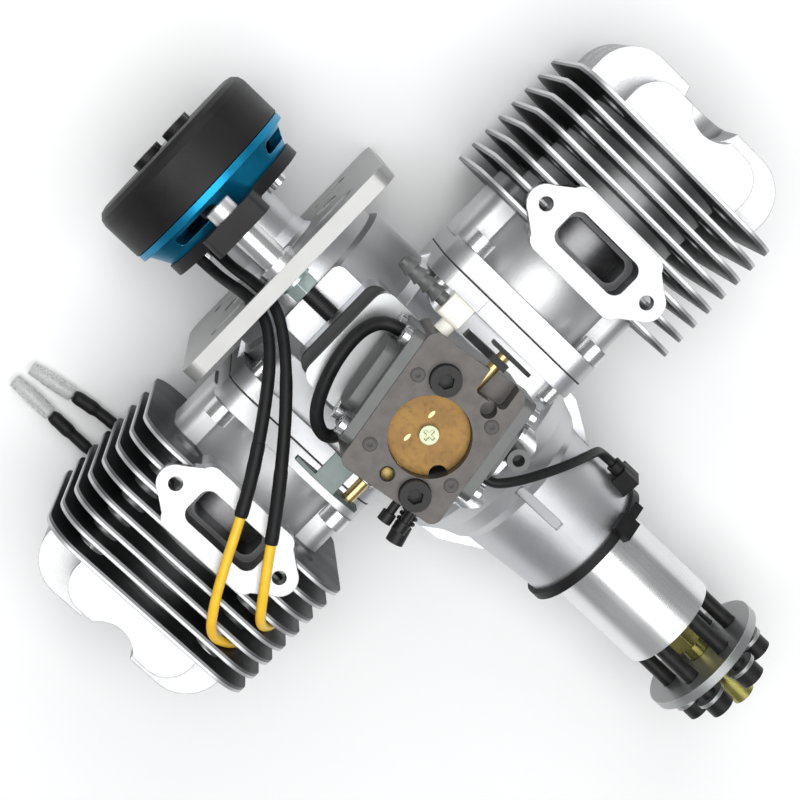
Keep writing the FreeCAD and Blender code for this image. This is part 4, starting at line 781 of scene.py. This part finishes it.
@dataclass
class Cords(SubAssembly):
    """The two starter leads with their sleeves and connectors, the impulse hose and the sensor's cable."""

    lead_d: float = 3.0 * MM
    hose_d: float = 4.0 * MM
    cable_d: float = 3.0 * MM
    yellow_from_y: float = -57.0 * MM
    yellow_to_z: float = -10.0 * MM
    band_length: float = 0.022
    band_overlap: float = 0.016
    boot_length: float = 0.017
    boot_gap: float = 0.0005
    under_gap: float = 0.013
    ring_step: float = 0.0008
    ripple: float = 0.012
    ripple_step: float = 0.0031
    slow_ripples: float = 23.0
    lip: float = 0.00012
    sleeve_sides: int = 20

    def route(self, name: str, points: Iterable[Point], diameter: float) -> bpy.types.Object:
        """One cord on a smooth spline with the points as its controls, in millimetres.

        Args:
            name: the cord's name.
            points: its control points.
            diameter: its thickness in metres.
        Returns:
            The curve.
        """
        curve = bpy.data.curves.new(name, "CURVE")
        curve.dimensions = "3D"
        controls = [(x * MM, y * MM, z * MM, 1.0) for x, y, z in points]
        spline = curve.splines.new("NURBS")
        spline.points.add(len(controls) - 1)
        for point, place in zip(spline.points, controls):
            point.co = place
            point.radius = diameter / 2
        spline.order_u = 3
        spline.use_endpoint_u = True
        spline.resolution_u = 10
        curve.bevel_depth = 1.0
        curve.bevel_resolution = 5
        curve.use_fill_caps = True
        cord = bpy.data.objects.new(name, curve)
        bpy.context.scene.collection.objects.link(cord)
        return cord

    def centreline(self, cord: bpy.types.Object) -> np.ndarray:
        """The points that the cord's own spline passes, read with no bevel.

        Args:
            cord: the curve.
        Returns:
            The points in order.
        """
        depth = cord.data.bevel_depth
        cord.data.bevel_depth = 0.0
        bpy.context.view_layer.update()
        shape = cord.evaluated_get(bpy.context.evaluated_depsgraph_get())
        mesh = bpy.data.meshes.new_from_object(shape)
        points = np.empty(len(mesh.vertices) * 3)
        mesh.vertices.foreach_get("co", points)
        bpy.data.meshes.remove(mesh)
        cord.data.bevel_depth = depth
        return points.reshape(-1, 3)

    def gaps(self, path: np.ndarray) -> np.ndarray:
        """The distances from each point of a path to the next."""
        return np.linalg.norm(np.diff(path, axis=0), axis=1)

    def length(self, path: np.ndarray) -> float:
        """The length of a path."""
        return float(self.gaps(path).sum())

    def distances(self, path: np.ndarray) -> np.ndarray:
        """How far along a path each of its points lies."""
        return np.concatenate([[0], np.cumsum(self.gaps(path))])

    def resample(self, path: np.ndarray, start: float, end: float, count: int) -> np.ndarray:
        """Even points on a stretch of a path.

        Args:
            path: the whole path.
            start: where the stretch starts, in metres along the path.
            end: where it ends.
            count: how many points it gets.
        Returns:
            The points.
        """
        reach = self.distances(path)
        wanted = np.linspace(start, end, count)
        return np.stack([np.interp(wanted, reach, path[:, axis.value]) for axis in Axis], -1)

    def sleeve(self, name: str, path: np.ndarray, start: float, end: float, steps: Sequence[tuple[float, float]],
               finish: str) -> bpy.types.Object:
        """A sleeve on a stretch of cord, with a radius that steps smoothly along it.

        The radius is interpolated between the steps, and two sines of the place along the sleeve are
        added to it, as shrunk tube waves. Its two ends roll in a little.

        Args:
            name: the sleeve's name.
            path: the cord's centreline.
            start: where the sleeve starts along the cord, in metres.
            end: where it ends.
            steps: shares of the sleeve's length and the radius there, in metres.
            finish: its finish.
        Returns:
            The sleeve.
        """
        count = max(24, int((end - start) / self.ring_step))
        share = np.linspace(0, 1, count)
        radius = np.interp(share, *zip(*steps))
        fast = np.sin(share * (end - start) / self.ripple_step)
        slow = np.sin(share * self.slow_ripples)
        radius = radius * (1 + self.ripple * fast + self.ripple * slow)
        radius[[0, -1]] -= self.lip
        grid = tube_grid(self.resample(path, start, end, count), radius, self.sleeve_sides)
        return self.place(skin(name, grid), finish, "black_rubber")

    def connector(self, name: str, end: np.ndarray, heading: np.ndarray) -> list[bpy.types.Object]:
        """A bullet connector: a crimped barrel in a clear sleeve that is open at its mouth.

        Args:
            name: the connector's name.
            end: where the lead ends.
            heading: the lead's direction there.
        Returns:
            The sleeve and the barrel.
        """
        wall = [(0, 1.75), (0.1, 2.3), (1.2, 2.45), (9.5, 2.5), (10.6, 2.3), (15.3, 2.15), (15.5, 2.0),
                (15.4, 1.75), (10.6, 1.7), (9.0, 1.95), (1.2, 1.9), (0.2, 1.75), (0, 1.75)]
        barrel = [(-2.0, 0), (-2.0, 1.5), (1.5, 1.55), (2.2, 1.2), (3.2, 1.2), (4.0, 1.6), (8.4, 1.6), (9.0, 1.35),
                  (14.4, 1.35), (14.8, 1.0), (14.8, 0.8), (11.0, 0.8), (11.0, 0)]
        tail = Vector(end)
        sleeve = turned(name + "_sleeve", in_metres(wall), tail, heading)
        metal = turned(name + "_barrel", in_metres(barrel), tail, heading)
        return [self.place(sleeve, "clear", "clear_plastic"), self.place(metal, "barrel", "zinc_steel")]

    def lead(self, name: str, points: Sequence[Point]) -> list[bpy.types.Object]:
        """One starter lead: yellow wire in black shrink sleeve at both ends, and its connector.

        Args:
            name: the lead's node.
            points: its control points in millimetres.
        Returns:
            The pieces beside the wire, the connector's two last.
        """
        wire = self.route(name + "_wire", points, self.lead_d)
        self.place(wire, "yellow", "black_rubber")
        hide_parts(name)
        path = self.centreline(wire)
        reach = self.distances(path)
        total = reach[-1]
        first_end = float(reach[np.argmax(path[:, Axis.Y.value] < self.yellow_from_y)])
        second_start = float(reach[np.argmax(path[:, Axis.Z.value] < self.yellow_to_z)])
        thin, full, rolled, thick, neck, boot = (r * MM for r in (1.68, 1.85, 1.9, 1.98, 1.95, 2.25))
        shapes = [
            ("_rear_sleeve", 0.0, first_end - self.band_overlap, [(0, thin), (0.62, thin), (0.66, full), (1, full)]),
            ("_band", first_end - self.band_length, first_end, [(0, rolled), (0.1, thick), (1, thick)]),
            ("_under_sleeve", second_start, total - self.under_gap, [(0, thin), (1, thin)]),
            ("_boot", total - self.boot_length, total - self.boot_gap,
             [(0, thin), (0.12, neck), (0.45, full), (0.55, boot), (0.9, boot), (1, rolled)]),
        ]
        beside = [self.sleeve(name + part, path, start, end, steps, "shrink") for part, start, end, steps in shapes]
        heading = path[-1] - path[-4]
        beside += self.connector(name + "_connector", path[-1], heading)
        return beside

    def link(self, name: str, points: Sequence[Point], diameter: float) -> bpy.types.Object:
        """A short hose or cable that goes back into the engine.

        Args:
            name: its node.
            points: its control points in millimetres.
            diameter: its thickness in metres.
        Returns:
            The curve.
        """
        cord = self.place(self.route(name + "_run", points, diameter), "rubber", "black_rubber")
        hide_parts(name)
        path = self.centreline(cord)
        return cord

    def build(self) -> None:
        """Builds all four cords."""
        deck_a = [(-20.8, -16.2, 12.0), (-13.5, -16.2, 12.0), (-8.0, -15.2, 18.5), (-2.0, -13.0, 27.3),
                  (6.5, -12.8, 32.6), (15.5, -20.5, 39.0), (25.5, -34.5, 43.2), (34.0, -48.0, 45.6),
                  (40.5, -60.5, 46.2), (46.0, -72.0, 46.4), (51.5, -82.0, 45.6)]
        fin_a = [(57.5, -90.2, 41.5), (65.0, -90.2, 33.0), (70.5, -90.2, 19.0), (72.0, -90.2, 3.0),
                 (68.0, -90.2, -14.0), (57.5, -90.2, -26.5), (42.0, -90.2, -32.0), (24.0, -90.2, -33.0),
                 (6.0, -90.2, -34.2), (-5.0, -90.3, -34.9), (-14.0, -90.1, -34.9)]
        deck_b = [(-20.8, -11.4, 12.0), (-13.5, -11.4, 12.0), (-8.0, -10.8, 18.5), (-2.0, -8.7, 27.4),
                  (6.5, -8.6, 32.8), (16.0, -15.0, 39.4), (27.5, -27.0, 43.8), (38.0, -40.0, 46.0),
                  (46.5, -51.5, 46.8), (54.0, -62.5, 46.8), (60.5, -71.5, 45.4)]
        fin_b = [(66.0, -78.6, 41.0), (71.0, -78.6, 30.0), (73.0, -78.6, 15.0), (72.0, -78.6, -1.0),
                 (66.5, -78.6, -16.5), (55.0, -78.6, -27.8), (39.0, -78.6, -32.2), (22.0, -78.6, -33.5),
                 (5.0, -78.6, -34.1), (-5.0, -79.3, -34.9), (-13.0, -80.7, -34.9)]
        pieces = self.lead("lead_a", deck_a + fin_a) + self.lead("lead_b", deck_b + fin_b)
        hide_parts("lead_connectors")
        hose = [(43.5, -17.0, 44.0), (43.5, -22.5, 44.0), (39.5, -25.4, 45.2), (33.2, -21.8, 48.0),
                (28.4, -12.5, 50.4), (25.9, -3.0, 51.6), (25.6, 6.0, 53.6), (28.82, 11.51, 56.0), (33.27, 12.2, 56.0)]
        cable = [(116.5, 23.87, 5.95), (110.8, 23.87, 5.95), (107.6, 22.8, 14.5), (102.0, 15.6, 24.5),
                 (96.3, 7.6, 30.0), (90.5, 0.0, 33.6), (86.0, -4.0, 34.2), (80.0, -4.0, 34.2)]
        self.link("impulse_hose", hose, self.hose_d)
        self.link("sensor_cable", cable, self.cable_d)


@dataclass
class Threads(SubAssembly):
    """The cut threads on the post bolts' ends."""

    pitch: float = 0.8 * MM
    depth: float = 0.30 * MM
    radius: float = 2.62 * MM
    post_z: float = 31.5 * MM
    nut_gap: float = 0.0001
    end_gap: float = 0.0003
    rows_a_turn: int = 6
    sides: int = 24

    def thread(self, name: str, start: Point, length: float, finish: str) -> bpy.types.Object:
        """A screw thread along X: the radius falls and rises as a triangle wave of distance less turn.

        Args:
            name: the piece's name.
            start: the thread's start on its axis.
            length: its length in metres.
            finish: its finish.
        Returns:
            The thread.
        """
        rows = int(length / self.pitch * self.rows_a_turn)
        distance = np.linspace(0, length, rows)[:, None]
        angle = np.linspace(0, 2 * math.pi, self.sides, endpoint=False)[None]
        phase = (distance / self.pitch - angle / (2 * math.pi)) % 1.0
        ridge = np.abs(phase - 0.5) * 2
        taper = np.clip(np.minimum(distance, length - distance) / self.pitch, 0, 1)
        reach = self.radius - self.depth + self.depth * ridge * taper
        grid = np.stack([start[0] + distance + 0 * angle, start[1] + reach * np.cos(angle),
                         start[2] + reach * np.sin(angle)], -1)
        return self.place(skin(name, grid), finish, "black_oxide")

    def build(self) -> None:
        """Cuts the thread on both post bolts, from the nuts to their ends."""
        bolt_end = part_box("post_bolts")[1].x
        nut_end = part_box("post_nuts")[1].x
        for name, centre in (("upper", self.post_z), ("lower", -self.post_z)):
            self.thread(f"{name}_post_thread", (nut_end + self.nut_gap, 0, centre),
                        bolt_end - nut_end - self.end_gap, "black_oxide")


@dataclass
class CarburettorTrim(SubAssembly):
    """Small things on the carburettor: the return spring's coil, the moulder's rings and the brass plug."""

    centre: Point = (55.8 * MM, -2.0 * MM, 74.0 * MM)
    turn: float = math.radians(8.8)
    wire: float = 0.42 * MM
    pitch: float = 1.1 * MM
    rings: tuple[tuple[float, float], ...] = ((-12.5, 11.9), (-12.1, -10.6), (11.9, 11.6), (12.3, -7.5))
    plug: tuple[float, float] = (-3.6, -14.6)

    def coil(self, name: str, start: Point, axis: Point, radius: float, turns: float, finish: str) -> bpy.types.Object:
        """A round wire on a helix: radius times cosine and sine across the axis plus pitch times turns along it.

        Args:
            name: the piece's name.
            start: where the helix's axis starts.
            axis: its direction.
            radius: the helix's radius.
            turns: how many turns there are.
            finish: its finish.
        Returns:
            The coil.
        """
        along = np.array(axis) / np.linalg.norm(axis)
        side = np.cross(along, [0, 0, 1.0])
        side /= np.linalg.norm(side)
        other = np.cross(along, side)
        angle = np.linspace(0, 2 * math.pi * turns, int(28 * turns))[:, None]
        path = np.array(start) + radius * (np.cos(angle) * side + np.sin(angle) * other)
        path = path + along * self.pitch * angle / (2 * math.pi)
        grid = tube_grid(path, np.full(len(path), self.wire), 10)
        return self.place(skin(name, grid), finish, "zinc_steel")

    def on_top(self, u: float, v: float, lift: float) -> Point:
        """A place on the carburettor's turned top face.

        Args:
            u: millimetres across from the centre.
            v: millimetres along from the centre.
            lift: millimetres above the face.
        Returns:
            The point in metres.
        """
        c, s = math.cos(self.turn), math.sin(self.turn)
        x = self.centre[0] + (u * c - v * s) * MM
        y = self.centre[1] + (u * s + v * c) * MM
        return x, y, self.centre[2] + lift * MM

    def moulder_ring(self, name: str, u: float, v: float) -> bpy.types.Object:
        """A low round ring left by the die's pin: a half-round rim 0.12 mm high with a sunken middle.

        Args:
            name: the piece's name.
            u: millimetres across from the centre.
            v: millimetres along from the centre.
        Returns:
            The ring.
        """
        profile = [(-0.1, 0), (-0.1, 2.05), (0.0, 2.05), (0.10, 1.95), (0.12, 1.85), (0.10, 1.75), (0.03, 1.65),
                   (0.03, 0.45), (0.07, 0.35), (0.07, 0)]
        ring = turned(name, in_metres(profile), self.on_top(u, v, 0), (0, 0, 1), 32)
        return self.place(ring, "mark", "zinc_casting")

    def build(self) -> None:
        """Builds the coil, the rings and the brass plug."""
        low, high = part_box("throttle_spring")
        middle = (low + high) / 2
        turns = (high.y - low.y - 2 * self.wire) / self.pitch
        coil = self.coil("return_spring", (middle.x, low.y + self.wire, middle.z), (0, 1.0, 0),
                         (high.z - low.z) / 2 - self.wire, turns, "steel")
        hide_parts("throttle_spring")
        for i, place in enumerate(self.rings, 1):
            self.moulder_ring(f"moulder_ring_{i}", *place)
        cap = [(-1.3, 0), (-1.3, 1.9), (-0.5, 1.9), (-0.3, 1.7), (-0.3, 0)]
        plug = turned("brass_plug", in_metres(cap), self.on_top(*self.plug, 0), (0, 0, 1), 24)
        self.place(plug, "plug", "brass")


class Studio:
    """Pale floor, soft light and the photograph's camera."""

    eye: Point = (-54.4 * MM, 48.0 * MM, 589.0 * MM)
    target: Point = (56.9 * MM, -7.2 * MM, 0.0)
    crank_in_picture: tuple[float, float] = (0.727, 0.687)
    focal_pixels: float = 1990.0
    picture_pixels: float = 800.0
    floor_z: float = -37.6 * MM
    floor_reach: float = 4.0
    lamps: tuple[tuple[str, Point, Point, float, float], ...] = (
        ("overhead", (0.05, 0.0, 1.25), (0.06, 0, 0), 1.2, 14.4), ("key", (-0.55, 0.75, 0.75), (0.05, 0, 0), 0.7, 3.0))
    surroundings: Color = (0.96, 0.98, 1.0)
    surroundings_strength: float = 0.33

    def camera(self) -> None:
        """Puts the camera where the crank's axis runs along its direction in the picture.

        The right direction is cosine times X plus sine times Y, both made square to the view.
        """
        view = (Vector(self.target) - Vector(self.eye)).normalized()
        along = Vector((1, 0, 0))
        along = (along - view * along.dot(view)).normalized()
        across = (-view).cross(along)
        cosine, sine = Vector(self.crank_in_picture).normalized()
        right = along * cosine + across * sine
        up = across * cosine - along * sine
        data = bpy.data.cameras.new("camera")
        data.sensor_width = 36.0
        data.lens = self.focal_pixels / self.picture_pixels * data.sensor_width
        data.clip_start = 0.01
        data.clip_end = 20.0
        camera = bpy.data.objects.new("camera", data)
        bpy.context.scene.collection.objects.link(camera)
        turn = Matrix((right, up, -view)).transposed().to_4x4()
        camera.matrix_world = Matrix.Translation(self.eye) @ turn
        bpy.context.scene.camera = camera

    def lamp(self, name: str, place: Point, aim: Point, size: float, power: float) -> None:
        """A square soft light.

        Args:
            name: its name.
            place: where it hangs.
            aim: the point that it faces.
            size: its side in metres.
            power: its power in watts.
        """
        data = bpy.data.lights.new(name, "AREA")
        data.size = size
        data.energy = power
        lamp = bpy.data.objects.new(name, data)
        heading = Vector(aim) - Vector(place)
        lamp.matrix_world = Matrix.Translation(place) @ heading.to_track_quat("-Z", "Y").to_matrix().to_4x4()
        bpy.context.scene.collection.objects.link(lamp)

    def floor(self) -> None:
        """A wide pale floor under the lowest fins."""
        reach = np.linspace(-self.floor_reach, self.floor_reach, 5)
        x, y = np.meshgrid(reach, reach)
        floor = surface("floor", np.stack([x, y, np.full_like(x, self.floor_z)], -1))
        paint = Paint("pale floor")
        tone = paint.blend(paint.noise(0.4, 1.0), (0.95, 0.95, 0.95), (0.97, 0.97, 0.97))
        floor.data.materials.append(paint.finish(Base_Color=tone, Roughness=0.7))

    def build(self) -> None:
        """Sets up the floor, the lights, the surroundings and the camera."""
        self.floor()
        for lamp in self.lamps:
            self.lamp(*lamp)
        world = bpy.data.worlds.new("soft surroundings")
        world.use_nodes = True
        sky = world.node_tree.nodes["Background"]
        sky.inputs["Color"].default_value = (*self.surroundings, 1.0)
        sky.inputs["Strength"].default_value = self.surroundings_strength
        scene = bpy.context.scene
        scene.world = world
        scene.view_settings.view_transform = "Standard"
        scene.view_settings.look = "None"
        self.camera()


def main() -> None:
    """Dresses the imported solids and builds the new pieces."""
    logging.basicConfig(level=logging.INFO, format="%(message)s")
    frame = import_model()
    finisher = Finisher()
    for node, solid in frame["nodes"].items():
        finisher.dress(solid, NODE_FINISHES.get(node, "steel"))
    for sub_assembly in (Cords(finisher), Threads(finisher), CarburettorTrim(finisher)):
        sub_assembly.build()
    Studio().build()


if __name__ == "__main__":
    main()
